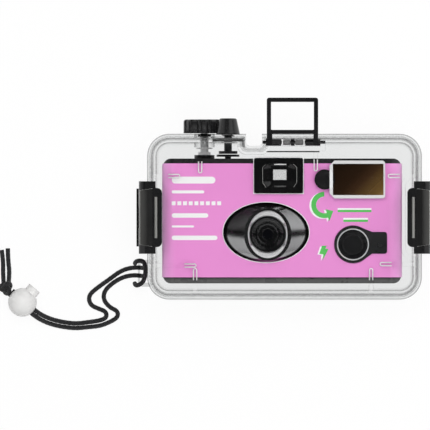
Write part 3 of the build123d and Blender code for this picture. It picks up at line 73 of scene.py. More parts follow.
strand_a_route = [
    (-0.0690, -0.0254, 0.0074), (-0.0692, -0.0253, 0.0033), (-0.0748, -0.0250, 0.0025),
    (-0.0806, -0.0266, 0.00115), (-0.0866, -0.0311, 0.00115), (-0.0925, -0.0352, 0.00115),
    (-0.0968, -0.0390, 0.00115), (-0.0959, -0.0437, 0.00115), (-0.0912, -0.0457, 0.00115),
    (-0.0881, -0.0469, 0.00115), (-0.0877, -0.0499, 0.00115), (-0.0913, -0.0514, 0.00115),
    (-0.0972, -0.0522, 0.00115), (-0.1030, -0.0529, 0.00115), (-0.1094, -0.0521, 0.00115),
    (-0.1144, -0.0509, 0.0019), (-0.1183, -0.0493, 0.0046), (-0.1218, -0.0473, 0.0069),
    (-0.1263, -0.0434, 0.0072), (-0.1304, -0.0398, 0.0071), (-0.1343, -0.0365, 0.0069),
]
strand_b_route = [
    (-0.0690, -0.0295, 0.0074), (-0.0692, -0.0294, 0.0033), (-0.0744, -0.0288, 0.0025),
    (-0.0796, -0.0298, 0.00115), (-0.0845, -0.0325, 0.00115), (-0.0889, -0.0366, 0.00115),
    (-0.0894, -0.0410, 0.00115), (-0.0863, -0.0448, 0.00115), (-0.0823, -0.0466, 0.00115),
    (-0.0822, -0.0497, 0.00115), (-0.0860, -0.0520, 0.00115), (-0.0910, -0.0540, 0.00115),
    (-0.0972, -0.0546, 0.00115), (-0.1032, -0.0552, 0.00115), (-0.1099, -0.0544, 0.00115),
    (-0.1153, -0.0531, 0.0019), (-0.1196, -0.0513, 0.0046), (-0.1233, -0.0490, 0.0069),
    (-0.1278, -0.0451, 0.0072), (-0.1319, -0.0415, 0.0071), (-0.1358, -0.0382, 0.0069),
]
hitch_route = [
    (-0.0737, -0.0231, 0.0063), (-0.0734, -0.0219, 0.0088), (-0.0699, -0.0216, 0.0091),
    (-0.0684, -0.0242, 0.0089), (-0.0686, -0.0296, 0.0089), (-0.0702, -0.0330, 0.0091),
    (-0.0735, -0.0343, 0.0089), (-0.0738, -0.0329, 0.0063),
]
tail_a_route = [
    (-0.1386, -0.0332, 0.0046), (-0.1390, -0.0280, 0.0015), (-0.1389, -0.0216, 0.00115),
    (-0.1397, -0.0164, 0.00115),
]
tail_b_route = [
    (-0.1362, -0.0329, 0.0046), (-0.1357, -0.0274, 0.0015), (-0.1365, -0.0216, 0.00115),
    (-0.1366, -0.0156, 0.00115),
]
knot_centre = (-0.13746, -0.03523, 0.0060)
knot_heading = math.radians(139.1)
knot_lobe = 0.00092
knot_thickness = 0.0012
knot_points = 220

# Printed card: its front, its colours as seen, and its plain marks
card_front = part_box("camera_wrap_label")[1].z
pink = (0.871, 0.283, 0.701)
print_green = (0.09, 0.55, 0.1)
print_white = (0.98, 0.97, 0.98)
card_shade = 0.94
card_rough = (0.34, 0.46)
ink_shade = 0.92
print_gap = 0.000002
print_rise = 0.00003
print_depth = 0.00004
print_shadow_x = -0.0009
print_shadow_y = -0.00035
outline_width = 0.0004
outline_overlap = outline_width / 4
oval_points = 96
bar_end_steps = 8
arrow_centre = (0.0196, 0.0058)
arrow_radius = 0.0065
arrow_band = 0.0024
arrow_start = math.radians(91)
arrow_end = math.radians(286)
arrow_steps = 28
arrow_head_length = 0.0036
arrow_head_width = 0.0062
bolt_centre = (0.0193, -0.0179)
bolt_height = 0.00724
bolt_width = 0.0045
bolt_outline_shares = [(-0.2, 0.5), (0.32, 0.5), (0.15, 0.30), (0.5, 0.29), (-0.13, -0.5),
                       (-0.05, -0.08), (-0.5, -0.045)]
bar_left = -0.0555
bar_rows = [
    (0.0180, 0.0215, 0.0034), (0.0122, 0.0160, 0.0015), (0.0006, 0.0180, 0.0022),
    (-0.0048, 0.0110, 0.0010), (-0.0104, 0.0225, 0.0022),
]
square_row_y = 0.0066
square_size = 0.0019
square_pitch = 0.0028
square_count = 9
green_bars = [(0.0261, 0.0427, 0.0028), (0.0289, 0.0410, -0.0020)]
green_bar_height = 0.0011
white_bar_shift = 0.00088

# Thin beads, and the painted highlights on the edges of the clear ribs: free end, and the way the
# rib runs from it
bead_sides = 10
rib_half_width = 0.0005
rib_highlight_length = 0.0052
rib_edge_radius = 0.0003
rib_highlight_rise = 0.0032
rib_ends = [
    ((-0.0415, 0.0220), (0, 1)), ((0.0153, 0.0230), (0, 1)), ((-0.0440, -0.0260), (0, -1)),
    ((0.0425, -0.0260), (0, -1)), ((0.0514, 0.0200), (1, 0)), ((0.0474, -0.0233), (1, 0)),
    ((-0.0520, 0.0200), (-1, 0)), ((-0.0440, -0.0240), (-1, 0)),
]

# Bright lines on the viewfinder: painted highlights on its octagon's edges, and painted reflections
# as bars above and below its window
octagon_sides = (-0.0108, 0.0060)
octagon_ends = (0.0145, 0.0258)
octagon_cut = 0.0016
octagon_low_cut = 0.00224
octagon_line_radius = 0.00011
finder_bar_left = -0.0052
finder_bar_right = 0.0008
finder_painted_reflections = {"high": (0.0257, 0.00028, "bright_edge"), "low": (0.0149, 0.0004, "edge_dark")}

# Painted light on the hinge of the finder behind clear plastic, and a painted dim grey line on the
# inner edge of its recess
knuckle_spans = [(-0.0007, 0.0028), (0.0052, 0.0090)]
knuckle_ends = [-0.0011, 0.0095]
knuckle_end_reach = 0.0015
magnified_pin_radius = 0.00145
recess_edge_left = -0.0088
recess_edge_right = 0.0172
recess_edge_y = 0.0320
recess_edge_z = 0.0300

# Raised panel of a latch hook, and the rings on the flash button and the filters' pivot
pad_inner_x = 0.0650
pad_outer_x = 0.0711
pad_half_length = 0.0142
pad_slant = 0.0009
pad_rise = 0.0006
pad_highlight_radius = 0.00013
# Painted highlight: the panel gets paler towards its outer side, from here to here, up to this grey
pad_highlight_start = 0.0672
pad_highlight_full = 0.0722
pad_painted_highlight_colour = (0.075, 0.075, 0.072)
pad_steps = 18
button_ring_radius = 0.0076
button_ring_thickness = 0.00034
button_dish_radius = 0.0048
pivot_dish_radius = 0.0034
dish_edge_thickness = 0.00025
ring_points = 64

# Lens surround: its black rim's start and full place, as shares of its oval
surround_rim_start = 0.9
surround_rim_full = 0.93
surround_rim_black = (0.004, 0.004, 0.004)

# Clear plastic: its ripples in tint and gloss, and the case's outline, whose rim gets darker by
# painted shade
clear_shade = 0.985
clear_rough_shares = (0.6, 1.4)
rim_half_width = 0.0676
rim_half_height = 0.0408
rim_corner_radius = 0.0110
rim_zone = 0.0050
case_rim_painted_shade_stops = [(0.0, (0.958, 0.96, 0.96)), (0.3, (0.958, 0.96, 0.96)),
                  (0.5, (0.938, 0.94, 0.94)), (0.86, (0.938, 0.94, 0.94)),
                  (0.93, (0.82, 0.822, 0.822)), (1.0, (0.8, 0.802, 0.802))]

# Printed card and camera cover: from where painted light makes their sides and low edge paler
label_middle_x = -0.0012
label_painted_light_start = 0.0525
label_painted_light_full = 0.0590
label_painted_light_colour = (1.0, 0.47, 0.88)
cover_painted_light_start = -0.0298
cover_painted_light_full = -0.0312
cover_painted_light_colour = (0.085, 0.085, 0.085)

# Dyed films with painted light: the direction in which the flash reflector's painted glow makes
# them lighter, and from where to where
film_glow_slope = (0.7, -0.7, 0)
film_glow_full_at = 0.030
film_rough = (0.06, 0.14)
magenta_film_painted_light_stops = [(0.0, (0.28, 0.012, 0.1)), (1.0, (0.55, 0.05, 0.22))]
cyan_film_painted_light_stops = [(0.0, (0.01, 0.18, 0.28)), (1.0, (0.04, 0.4, 0.52))]
# The yellow film stands for the whole stack over the flash reflector: painted shade at its dark
# end, the reflector's painted glow at its light end
yellow_film_painted_light_stops = [(0.0, (0.012, 0.006, 0.0024)), (0.35, (0.022, 0.01, 0.004)),
                     (0.5, (0.045, 0.021, 0.009)), (0.8, (0.16, 0.092, 0.026)),
                     (0.95, (0.36, 0.22, 0.1))]

# Blender's numbers for the colour sockets of its Mix node
mix_colour_a = 6
mix_colour_b = 7
mix_colour_result = 2

# Roundings of the part's own edges
weld_distance = 0.00001
bevel_segments = 2
bevel_angle = math.radians(40)

# Studio: floor, lamps by place, size and power, and the room that gloss mirrors
floor_size = 3.0
floor_drop = 0.00002
floor_colour = (0.9, 0.9, 0.9)
lamp_warmth = (1.0, 0.995, 0.985)
lamp_aim = (0, 0, 0.02)
lamps = {
    "key_lamp": ((-0.14, 0.34, 1.25), (1.0, 0.7), 9.4),
    "fill_lamp": ((0.2, -0.3, 1.2), (1.0, 0.7), 6.5),
    "side_lamp": ((0.9, 0.5, 0.5), (0.4, 0.8), 2),
}
room_colour = (0.75, 0.75, 0.76)
room_light = 0.3
floor_white_share = 0.92
horizon_stops = [(0.0, 1.0), (0.44, 1.0), (0.475, 0.0), (1.0, 0.0)]
table_grey = 0.85
wall_stops = [(0.0, 0.8), (0.18, 0.5), (0.23, 0.02), (0.56, 0.0), (0.64, 0.8), (0.8, 1.0)]
dark_band_stops = [(0.0, 0.0), (0.53, 0.0), (0.57, 1.0), (1.0, 1.0)]


def collection_link(obj):
    """Put a new object into the scene."""
    scene.collection.objects.link(obj)
    return obj


def mesh_object(name, fill, material, smooth=True):
    """A mesh object from a bmesh that a function fills, with a material by its name."""
    bm = bmesh.new()
    fill(bm)
    bmesh.ops.recalc_face_normals(bm, faces=bm.faces)
    mesh = bpy.data.meshes.new(name)
    bm.to_mesh(mesh)
    bm.free()
    for face in mesh.polygons:
        face.use_smooth = smooth
    mesh.materials.append(materials[material])
    return collection_link(bpy.data.objects.new(name, mesh))


def join_rings(bm, ring, following):
    """The faces between two rings of as many points."""
    count = len(ring)
    return [bm.faces.new((ring[k], ring[(k + 1) % count], following[(k + 1) % count], following[k]))
            for k in range(count)]


def make_camera():
    """Camera straight above the case, as in the photograph."""
    data = bpy.data.cameras.new("photo_camera")
    data.sensor_width = sensor_width
    data.lens = sensor_width * view_distance / view_width
    data.clip_start = nearest_seen
    data.clip_end = furthest_seen
    camera = collection_link(bpy.data.objects.new("photo_camera", data))
    camera.location = (view_centre_x, view_centre_y, card_front + view_distance)
    scene.camera = camera


make_camera()


# Materials

materials = {}


def new_material(name):
    """An empty node material, kept under its name, with its shader."""
    mat = bpy.data.materials.new(name)
    mat.use_nodes = True
    materials[name] = mat
    nodes = mat.node_tree.nodes
    return nodes, mat.node_tree.links, nodes["Principled BSDF"]


def material_tree(name):
    """The nodes and links of a material that is already made."""
    tree = materials[name].node_tree
    return tree.nodes, tree.links


def set_inputs(node, values):
    """Give a node's sockets their values, by the sockets' names."""
    for socket, value in values.items():
        node.inputs[socket].default_value = value


def object_coordinates(nodes, links, scale=(1, 1, 1)):
    """Object coordinates stretched to the size of the detail."""
    coordinates = nodes.new("ShaderNodeTexCoord")
    mapping = nodes.new("ShaderNodeMapping")
    mapping.inputs["Scale"].default_value = scale
    links.new(coordinates.outputs["Object"], mapping.inputs["Vector"])
    return mapping.outputs["Vector"]


def position_parts(nodes, links, kind="Object"):
    """The X, Y and Z of a point, or of a direction in the world."""
    coordinates = nodes.new("ShaderNodeTexCoord")
    split = nodes.new("ShaderNodeSeparateXYZ")
    links.new(coordinates.outputs[kind], split.inputs["Vector"])
    return split.outputs


def noise(nodes, links, vector, scale, detail=3.0):
    """A noise texture on some coordinates."""
    texture = nodes.new("ShaderNodeTexNoise")
    set_inputs(texture, {"Scale": scale, "Detail": detail})
    links.new(vector, texture.inputs["Vector"])
    return texture.outputs["Fac"]


def maths(nodes, links, operation, source, other=0.0):
    """A sum on one value, or on two."""
    step = nodes.new("ShaderNodeMath")
    step.operation = operation
    links.new(source, step.inputs[0])
    if isinstance(other, float):
        step.inputs[1].default_value = other
    else:
        links.new(other, step.inputs[1])
    return step.outputs[0]


def value_range(nodes, links, source, low=0.0, high=1.0, start=0.0, full=1.0):
    """A value that runs from start to full, brought between low and high."""
    mapped = nodes.new("ShaderNodeMapRange")
    set_inputs(mapped, {"From Min": start, "From Max": full, "To Min": low, "To Max": high})
    links.new(source, mapped.inputs["Value"])
    return mapped.outputs["Result"]


def colour_between(nodes, links, factor, first, second):
    """A colour that goes from the first to the second with a factor."""
    return colour_steps(nodes, links, factor, [(0.0, first), (1.0, second)])


def colour_steps(nodes, links, factor, stops):
    """A colour that goes through several stops with a factor."""
    ramp = nodes.new("ShaderNodeValToRGB")
    while len(ramp.color_ramp.elements) < len(stops):
        ramp.color_ramp.elements.new(1.0)
    for element, (place, colour) in zip(ramp.color_ramp.elements, stops):
        element.position = place
        element.color = (*colour, 1)
    links.new(factor, ramp.inputs["Fac"])
    return ramp.outputs["Color"]


def shaded(colour, share):
    """A colour made darker by a share."""
    return tuple(c * share for c in colour)


def mix_shaders(nodes, links, factor, first, second):
    """The first shader, or the second where the factor is 1."""
    mix = nodes.new("ShaderNodeMixShader")
    links.new(factor, mix.inputs["Fac"])
    links.new(first.outputs[0], mix.inputs[1])
    links.new(second.outputs[0], mix.inputs[2])
    return mix


def mix_into_colour(nodes, links, factor, colour):
    """Bring another colour into a material's base colour where the factor says so."""
    base = nodes["Principled BSDF"].inputs["Base Color"]
    mix = nodes.new("ShaderNodeMix")
    mix.data_type = "RGBA"
    links.new(factor, mix.inputs["Factor"])
    links.new(base.links[0].from_socket, mix.inputs[mix_colour_a])
    mix.inputs[mix_colour_b].default_value = (*colour, 1)
    links.new(mix.outputs[mix_colour_result], base)


def add_bump(nodes, links, shader, height, strength, distance):
    """Surface relief on a shader."""
    bump = nodes.new("ShaderNodeBump")
    set_inputs(bump, {"Strength": strength, "Distance": distance})
    links.new(height, bump.inputs["Height"])
    links.new(bump.outputs["Normal"], shader.inputs["Normal"])


def moulded_plastic(name, colour, lighter, rough, grain, depth):
    """Moulded plastic: fine grain, a little wear in its gloss and in its colour."""
    nodes, links, shader = new_material(name)
    vector = object_coordinates(nodes, links)
    wear = noise(nodes, links, vector, scale=90.0)
    fine = noise(nodes, links, vector, scale=grain, detail=2.0)
    links.new(colour_between(nodes, links, wear, colour, lighter), shader.inputs["Base Color"])
    links.new(value_range(nodes, links, wear, *rough), shader.inputs["Roughness"])
    set_inputs(shader, {"Coat Weight": COATS.get(name, 0.0), "Coat Roughness": 0.08})
    add_bump(nodes, links, shader, fine, strength=0.35, distance=depth)


def metal(name, colour, lighter, rough, stretch, metallic):
    """Metal with fine lines along one direction."""
    nodes, links, shader = new_material(name)
    vector = object_coordinates(nodes, links, stretch)
    lines = noise(nodes, links, vector, scale=400.0, detail=4.0)
    shader.inputs["Metallic"].default_value = metallic
    links.new(colour_between(nodes, links, lines, colour, lighter), shader.inputs["Base Color"])
    links.new(value_range(nodes, links, lines, *rough), shader.inputs["Roughness"])
    add_bump(nodes, links, shader, lines, strength=0.08, distance=0.00002)


def paint_light_on_low_edge(name, start, full, colour):
    """Painted light: the low edge of a piece, painted paler where the table's light would reach it.
    """
    nodes, links = material_tree(name)
    low = value_range(nodes, links, position_parts(nodes, links)["Y"], start=start, full=full)
    mix_into_colour(nodes, links, low, colour)


def paint_light_on_sides(name, middle, start, full, colour):
    """Painted light: paler towards the left and right edges, where the case's walls would throw
    light on them.
    """
    nodes, links = material_tree(name)
    off_middle = maths(nodes, links, "SUBTRACT", position_parts(nodes, links)["X"], middle)
    outwards = maths(nodes, links, "ABSOLUTE", off_middle)
    side = value_range(nodes, links, outwards, start=start, full=full)
    mix_into_colour(nodes, links, side, colour)


def blacken_rim(name, node, start, full):
    """Black on the sloping rim of an oval metal piece, by the distance from its middle."""
    nodes, links = material_tree(name)
    low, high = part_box(node)
    half_width, half_height = (high.x - low.x) / 2, (high.y - low.y) / 2
    middle_x, middle_y = (low.x + high.x) / 2, (low.y + high.y) / 2
    vector = object_coordinates(nodes, links, (half_width, half_height, 1))
    vector.node.vector_type = "TEXTURE"
    vector.node.inputs["Location"].default_value = (middle_x, middle_y, high.z)
    length = nodes.new("ShaderNodeVectorMath")
    length.operation = "LENGTH"
    links.new(vector, length.inputs[0])
    edge = value_range(nodes, links, length.outputs["Value"], start=start, full=full)
    mix_into_colour(nodes, links, edge, surround_rim_black)


def rim_share(nodes, links):
    """Where a point lies in the case's round-cornered rim, for its painted shade: 0 at its inside,
    1 at its outline.
    """
    parts = position_parts(nodes, links)
    squares = []
    for axis, half in (("X", rim_half_width), ("Y", rim_half_height)):
        off_middle = maths(nodes, links, "ABSOLUTE", parts[axis])
        beyond = maths(nodes, links, "SUBTRACT", off_middle, half - rim_corner_radius)
        outside = maths(nodes, links, "MAXIMUM", beyond, 0.0)
        squares.append(maths(nodes, links, "MULTIPLY", outside, outside))
    radius = maths(nodes, links, "SQRT", maths(nodes, links, "ADD", *squares))
    inside = rim_corner_radius - rim_zone
    return value_range(nodes, links, radius, start=inside, full=rim_corner_radius)


def clear_plastic(name, tint, body, veil, edge, steepness, roughness, rim_shade_stops=None):
    """Clear moulding: nearly nothing where it faces the eye, milky where it turns away."""
    nodes, links, shader = new_material(name)
    waves = noise(nodes, links, object_coordinates(nodes, links), scale=60.0, detail=1.0)
    set_inputs(shader, {"Base Color": (*body, 1), "Specular IOR Level": 0.2})
    rough = value_range(nodes, links, waves, *(roughness * share for share in clear_rough_shares))
    links.new(rough, shader.inputs["Roughness"])
    add_bump(nodes, links, shader, waves, strength=0.15, distance=0.0002)
    # Painted shade: the case's tint gets darker towards its outline
    if rim_shade_stops:
        colour = colour_steps(nodes, links, rim_share(nodes, links), rim_shade_stops)
    else:
        colour = colour_between(nodes, links, waves, shaded(tint, clear_shade), tint)
    clear = nodes.new("ShaderNodeBsdfTransparent")
    links.new(colour, clear.inputs["Color"])
    turning = nodes.new("ShaderNodeLayerWeight")
    turning.inputs["Blend"].default_value = 0.5
    turned = maths(nodes, links, "POWER", turning.outputs["Facing"], steepness)
    milky = value_range(nodes, links, turned, veil, edge)
    let_lamps_through(nodes, links, mix_shaders(nodes, links, milky, clear, shader), tint)


def let_lamps_through(nodes, links, surface, tint):
    """The surface as seen, but clear for the rays that light what lies behind it."""
    open_way = nodes.new("ShaderNodeBsdfTransparent")
    open_way.inputs["Color"].default_value = (*tint, 1)
    rays = nodes.new("ShaderNodeLightPath").outputs
    bringing = maths(nodes, links, "MAXIMUM", rays["Is Shadow Ray"], rays["Is Diffuse Ray"])
    lit = mix_shaders(nodes, links, bringing, surface, open_way)
    links.new(lit.outputs[0], nodes["Material Output"].inputs["Surface"])


def gel_film(name, film_light_stops, alpha):
    """Glossy dyed film, with painted light: lighter towards its lower corner, where the flash
    reflector's glow is painted.
    """
    nodes, links, shader = new_material(name)
    vector = object_coordinates(nodes, links)
    waves = noise(nodes, links, vector, scale=60.0, detail=1.0)
    slope = nodes.new("ShaderNodeVectorMath")
    slope.operation = "DOT_PRODUCT"
    slope.inputs[1].default_value = film_glow_slope
    links.new(vector, slope.inputs[0])
    along = value_range(nodes, links, slope.outputs["Value"], full=film_glow_full_at)
    links.new(colour_steps(nodes, links, along, film_light_stops), shader.inputs["Base Color"])
    links.new(value_range(nodes, links, waves, *film_rough), shader.inputs["Roughness"])
    set_inputs(shader, {"Specular IOR Level": 0.25, "Alpha": alpha})
    add_bump(nodes, links, shader, waves, strength=0.3, distance=0.00008)


def printed_card(name, colour):
    """Printed card under a thin varnish, with the paper's grain."""
    nodes, links, shader = new_material(name)
    vector = object_coordinates(nodes, links)
    wear = noise(nodes, links, vector, scale=35.0)
    grain = noise(nodes, links, vector, scale=5000.0, detail=2.0)
    base = colour_between(nodes, links, wear, shaded(colour, card_shade), colour)
    links.new(base, shader.inputs["Base Color"])
    links.new(value_range(nodes, links, wear, *card_rough), shader.inputs["Roughness"])
    set_inputs(shader, {"Coat Weight": 0.15, "Coat Roughness": 0.2})
    add_bump(nodes, links, shader, grain, strength=0.25, distance=0.00002)


def print_ink(name, colour):
    """Ink of the printed marks, with the card's grain under it."""
    nodes, links, shader = new_material(name)
    grain = noise(nodes, links, object_coordinates(nodes, links), scale=4000.0, detail=2.0)
    base = colour_between(nodes, links, grain, shaded(colour, ink_shade), colour)
    links.new(base, shader.inputs["Base Color"])
    shader.inputs["Roughness"].default_value = 0.42
    add_bump(nodes, links, shader, grain, strength=0.2, distance=0.00002)


def plaited_cord(name):
    """Black plaited polyester: its strands from the tube's own UVs, with a soft sheen."""
    nodes, links, shader = new_material(name)
    uv = nodes.new("ShaderNodeTexCoord")
    mapping = nodes.new("ShaderNodeMapping")
    strands_per_uv = 1 / cord_uv_per_metre / cord_plait_pitch * cord_strand_count
    mapping.inputs["Scale"].default_value = (cord_strand_count, strands_per_uv, 1)
    links.new(uv.outputs["UV"], mapping.inputs["Vector"])
    fibres = nodes.new("ShaderNodeTexWave")
    set_inputs(fibres, {"Scale": 2.2, "Distortion": 2.0, "Detail": 3.0})
    fibres.bands_direction = "DIAGONAL"
    links.new(mapping.outputs["Vector"], fibres.inputs["Vector"])
    fluff = noise(nodes, links, object_coordinates(nodes, links), scale=3500.0, detail=4.0)
    base = colour_between(nodes, links, fibres.outputs["Fac"], cord_dark, cord_light)
    links.new(base, shader.inputs["Base Color"])
    links.new(value_range(nodes, links, fluff, *cord_rough), shader.inputs["Roughness"])
    set_inputs(shader, {"Sheen Weight": 0.12, "Sheen Roughness": 0.5})
    add_bump(nodes, links, shader, fibres.outputs["Fac"], strength=0.5, distance=0.0001)


# Each row: darker and lighter colour, lowest and highest roughness, the grain's scale and depth
PLASTICS = {
    "satin_black": ((0.0025, 0.0025, 0.003), (0.006, 0.006, 0.0065), (0.2, 0.32), 2500, 0.00002),
    "knob_black": ((0.008, 0.008, 0.0085), (0.018, 0.018, 0.019), (0.16, 0.26), 1800, 0.00003),
    "gloss_black": ((0.002, 0.002, 0.0022), (0.005, 0.005, 0.0055), (0.1, 0.18), 900, 0.00001),
    "camera_black": ((0.006, 0.006, 0.007), (0.014, 0.014, 0.015), (0.22, 0.36), 2200, 0.00003),
    "rubber_black": ((0.012, 0.012, 0.012), (0.025, 0.025, 0.025), (0.6, 0.8), 1500, 0.00004),
    "pad_black": ((0.004, 0.004, 0.004), (0.007, 0.007, 0.007), (0.2, 0.3), 900, 0.00001),
    "white_ball": ((0.72, 0.72, 0.71), (0.8, 0.8, 0.795), (0.3, 0.42), 1200, 0.00002),
    "board_green": ((0.01, 0.08, 0.035), (0.02, 0.14, 0.06), (0.3, 0.45), 800, 0.00002),
    "film_base": ((0.05, 0.03, 0.02), (0.09, 0.06, 0.045), (0.2, 0.3), 600, 0.00001),
    "can_paint": ((0.03, 0.03, 0.033), (0.07, 0.07, 0.075), (0.25, 0.35), 500, 0.00001),
    "flash_diffuser": ((0.7, 0.7, 0.68), (0.8, 0.8, 0.78), (0.12, 0.2), 900, 0.00002),
    # The last four rows colour thin beads of painted light: grey highlights, glare, dim grey lines
    # and bright highlights
    "edge_grey": ((0.3, 0.3, 0.29), (0.4, 0.4, 0.39), (0.2, 0.3), 900, 0.00001),
    "edge_glare": ((0.1, 0.1, 0.1), (0.22, 0.22, 0.22), (0.1, 0.2), 900, 0.00001),
    "edge_dark": ((0.06, 0.06, 0.06), (0.09, 0.09, 0.09), (0.3, 0.4), 900, 0.00001),
    "bright_edge": ((0.86, 0.86, 0.86), (0.93, 0.93, 0.93), (0.15, 0.25), 900, 0.00001),
}
COATS = {"gloss_black": 0.6, "white_ball": 0.1, "can_paint": 0.3, "flash_diffuser": 0.4,
         "bright_edge": 0.3}

# Each row: both colours and both roughnesses again, stretch of its lines, metallic
METALS = {
    "steel": ((0.62, 0.62, 0.63), (0.8, 0.8, 0.81), (0.26, 0.38), (1, 0.05, 1), 0.55),
    "roller_steel": ((0.26, 0.26, 0.25), (0.42, 0.42, 0.4), (0.26, 0.38), (1, 0.05, 1), 0.5),
    "chrome": ((0.8, 0.8, 0.81), (0.9, 0.9, 0.91), (0.24, 0.34), (0.2, 0.2, 1), 0.6),
    "dark_chrome": ((0.4, 0.4, 0.405), (0.48, 0.48, 0.485), (0.1, 0.16), (0.1, 0.4, 1), 1.0),
    "foil": ((0.75, 0.75, 0.74), (0.85, 0.85, 0.84), (0.2, 0.35), (1, 0.1, 1), 1.0),
}

# Each row: tint, milky colour, milkiness face on and edge on, its steepness, roughness, and for the
# case the stops of its rim's painted shade
CLEARS = {
    "clear_case": ((0.95, 0.952, 0.952), (0.2, 0.205, 0.205), 0.004, 0.9, 2.2, 0.12,
                   case_rim_painted_shade_stops),
    "clear_gasket": ((0.88, 0.88, 0.88), (0.4, 0.4, 0.4), 0.12, 0.6, 2.0, 0.4),
    "clear_window": ((0.96, 0.96, 0.96), (0.7, 0.7, 0.7), 0.05, 0.9, 2.0, 0.08),
    "frosted_rim": ((0.9, 0.9, 0.9), (0.96, 0.96, 0.97), 0.75, 0.95, 1.0, 0.25),
    "lens_glass": ((0.5, 0.52, 0.6), (0.02, 0.02, 0.03), 0.08, 0.7, 2.0, 0.03),
}

# Each row: colours along the film, with its painted light, opacity
FILMS = {
    "gel_yellow_film": (yellow_film_painted_light_stops, 0.85),
    "gel_magenta_film": (magenta_film_painted_light_stops, 0.65),
    "gel_cyan_film": (cyan_film_painted_light_stops, 0.65),
}
INKS = {"ink_green": (print_green,), "ink_white": (print_white,)}


def make_materials():
    """Every material of the part, by its name."""
    kinds = ((clear_plastic, CLEARS), (moulded_plastic, PLASTICS), (metal, METALS),
             (gel_film, FILMS), (print_ink, INKS))
    for make, rows in kinds:
        for name, row in rows.items():
            make(name, *row)
    printed_card("printed_card", pink)
    plaited_cord("plaited_cord")
    # Painted light on the camera cover's low edge
    paint_light_on_low_edge("camera_black", cover_painted_light_start, cover_painted_light_full, cover_painted_light_colour)
    # Painted light on the printed card's left and right edges
    paint_light_on_sides("printed_card", label_middle_x, label_painted_light_start, label_painted_light_full,
                  label_painted_light_colour)
    # Painted highlight towards the outer side of each latch panel
    paint_light_on_sides("pad_black", 0.0, pad_highlight_start, pad_highlight_full, pad_painted_highlight_colour)
    blacken_rim("dark_chrome", "lens_surround", surround_rim_start, surround_rim_full)


make_materials()


# Strap

def route_line(route):
    """The smooth line that a route's spline draws."""
    data = bpy.data.curves.new("route", "CURVE")
    data.dimensions = "3D"
    spline = data.splines.new("NURBS")
    spline.points.add(len(route) - 1)
    for point, place in zip(spline.points, route):
        point.co = (*place, 1)
    spline.order_u = 3
    spline.use_endpoint_u = True
    spline.resolution_u = route_resolution
    holder = collection_link(bpy.data.objects.new("route", data))
    bpy.context.view_layer.update()
    line_mesh = bpy.data.meshes.new_from_object(holder)
    line = [v.co.copy() for v in line_mesh.vertices]
    bpy.data.meshes.remove(line_mesh)
    bpy.data.objects.remove(holder)
    bpy.data.curves.remove(data)
    return line


def evenly_spaced(line, step):
    """Points along a line, all the same distance apart."""
    lengths = [0.0]
    for a, b in zip(line, line[1:]):
        lengths.append(lengths[-1] + (b - a).length)
    count = max(cord_least_rings, round(lengths[-1] / step))
    points, at = [], 0
    for n in range(count + 1):
        wanted = lengths[-1] * n / count
        while at < len(line) - 2 and lengths[at + 1] < wanted:
            at += 1
        run = lengths[at + 1] - lengths[at]
        share = (wanted - lengths[at]) / run if run else 0.0
        points.append(line[at].lerp(line[at + 1], min(max(share, 0.0), 1.0)))
    return points


def plait_radius(angle, travelled):
    """The cord's radius at a point: most where one of its crossing strands runs over it."""
    along = 2 * math.pi * travelled / cord_plait_pitch
    turns = cord_strand_count / 2
    left = math.cos(turns * angle + along * 2)
    right = math.cos(turns * angle - along * 2)
    relief = max(left, right)
    return (cord_radius + cord_fluff) * (1 - cord_plait_share * (1 - relief) / 2)


def plaited_tube(bm, line):
    """A plaited cord along a line, with its length and girth as UVs, closed at both ends."""
    uv_layer = bm.loops.layers.uv.verify()
    points = evenly_spaced(line, cord_ring_step)
    count = len(points)
    direction = (points[1] - points[0]).normalized()
    side = direction.orthogonal().normalized()
    rings, travelled = [], 0.0
    for n, point in enumerate(points):
        ahead = points[min(n + 1, count - 1)]
        behind = points[max(n - 1, 0)]
        direction = (ahead - behind).normalized()
        side = (side - direction * side.dot(direction)).normalized()
        up = direction.cross(side)
        if n:
            travelled += (point - points[n - 1]).length
        ring = []
        for k in range(cord_sides):
            angle = 2 * math.pi * k / cord_sides
            outward = side * math.cos(angle) + up * math.sin(angle)
            ring.append(bm.verts.new(point + outward * plait_radius(angle, travelled)))
        rings.append((ring, travelled))
    for (ring, start), (following, end) in zip(rings, rings[1:]):
        for k, face in enumerate(join_rings(bm, ring, following)):
            u, next_u = k / cord_sides, (k + 1) / cord_sides
            places = ((u, start), (next_u, start), (next_u, end), (u, end))
            for loop, (place, distance) in zip(face.loops, places):
                loop[uv_layer].uv = (place, distance * cord_uv_per_metre)
    for ring, centre in ((rings[0][0], points[0]), (rings[-1][0], points[-1])):
        middle = bm.verts.new(centre)
        for k in range(cord_sides):
            bm.faces.new((ring[k], ring[(k + 1) % cord_sides], middle))


def knot_line():
    """A trefoil, the three-lobed knot, pulled small, round the place where the cords end."""
    turn = Matrix.Translation(knot_centre) @ Matrix.Rotation(knot_heading, 4, "Z")
    line = []
    for n in range(knot_points + 1):
        t = 2 * math.pi * n / knot_points
        x = knot_lobe * (math.sin(t) + 2 * math.sin(2 * t))
        y = knot_lobe * (math.cos(t) - 2 * math.cos(2 * t))
        z = -knot_thickness * math.sin(3 * t)
        line.append(turn @ Vector((x, y, z)))
    return line


def strap_piece(name, lines, node):
    """Plaited cords along one or more lines, standing for a node of the part."""
    def build(bm):
        for line in lines:
            plaited_tube(bm, line)
    piece = mesh_object(name, build, "plaited_cord")
    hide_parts(node)
    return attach(piece, "root")


line_a = route_line(strand_a_route)
line_b = route_line(strand_b_route)
cord_a = strap_piece("strap_cord_a", [line_a], "strap_strand_a")
cord_b = strap_piece("strap_cord_b", [line_b], "strap_strand_b")
hitch = strap_piece("strap_hitch_cord", [route_line(hitch_route)], "strap_hitch")
knot_lines = [knot_line(), route_line(tail_a_route), route_line(tail_b_route)]
knot = strap_piece("strap_knot_cord", knot_lines, "strap_knot")


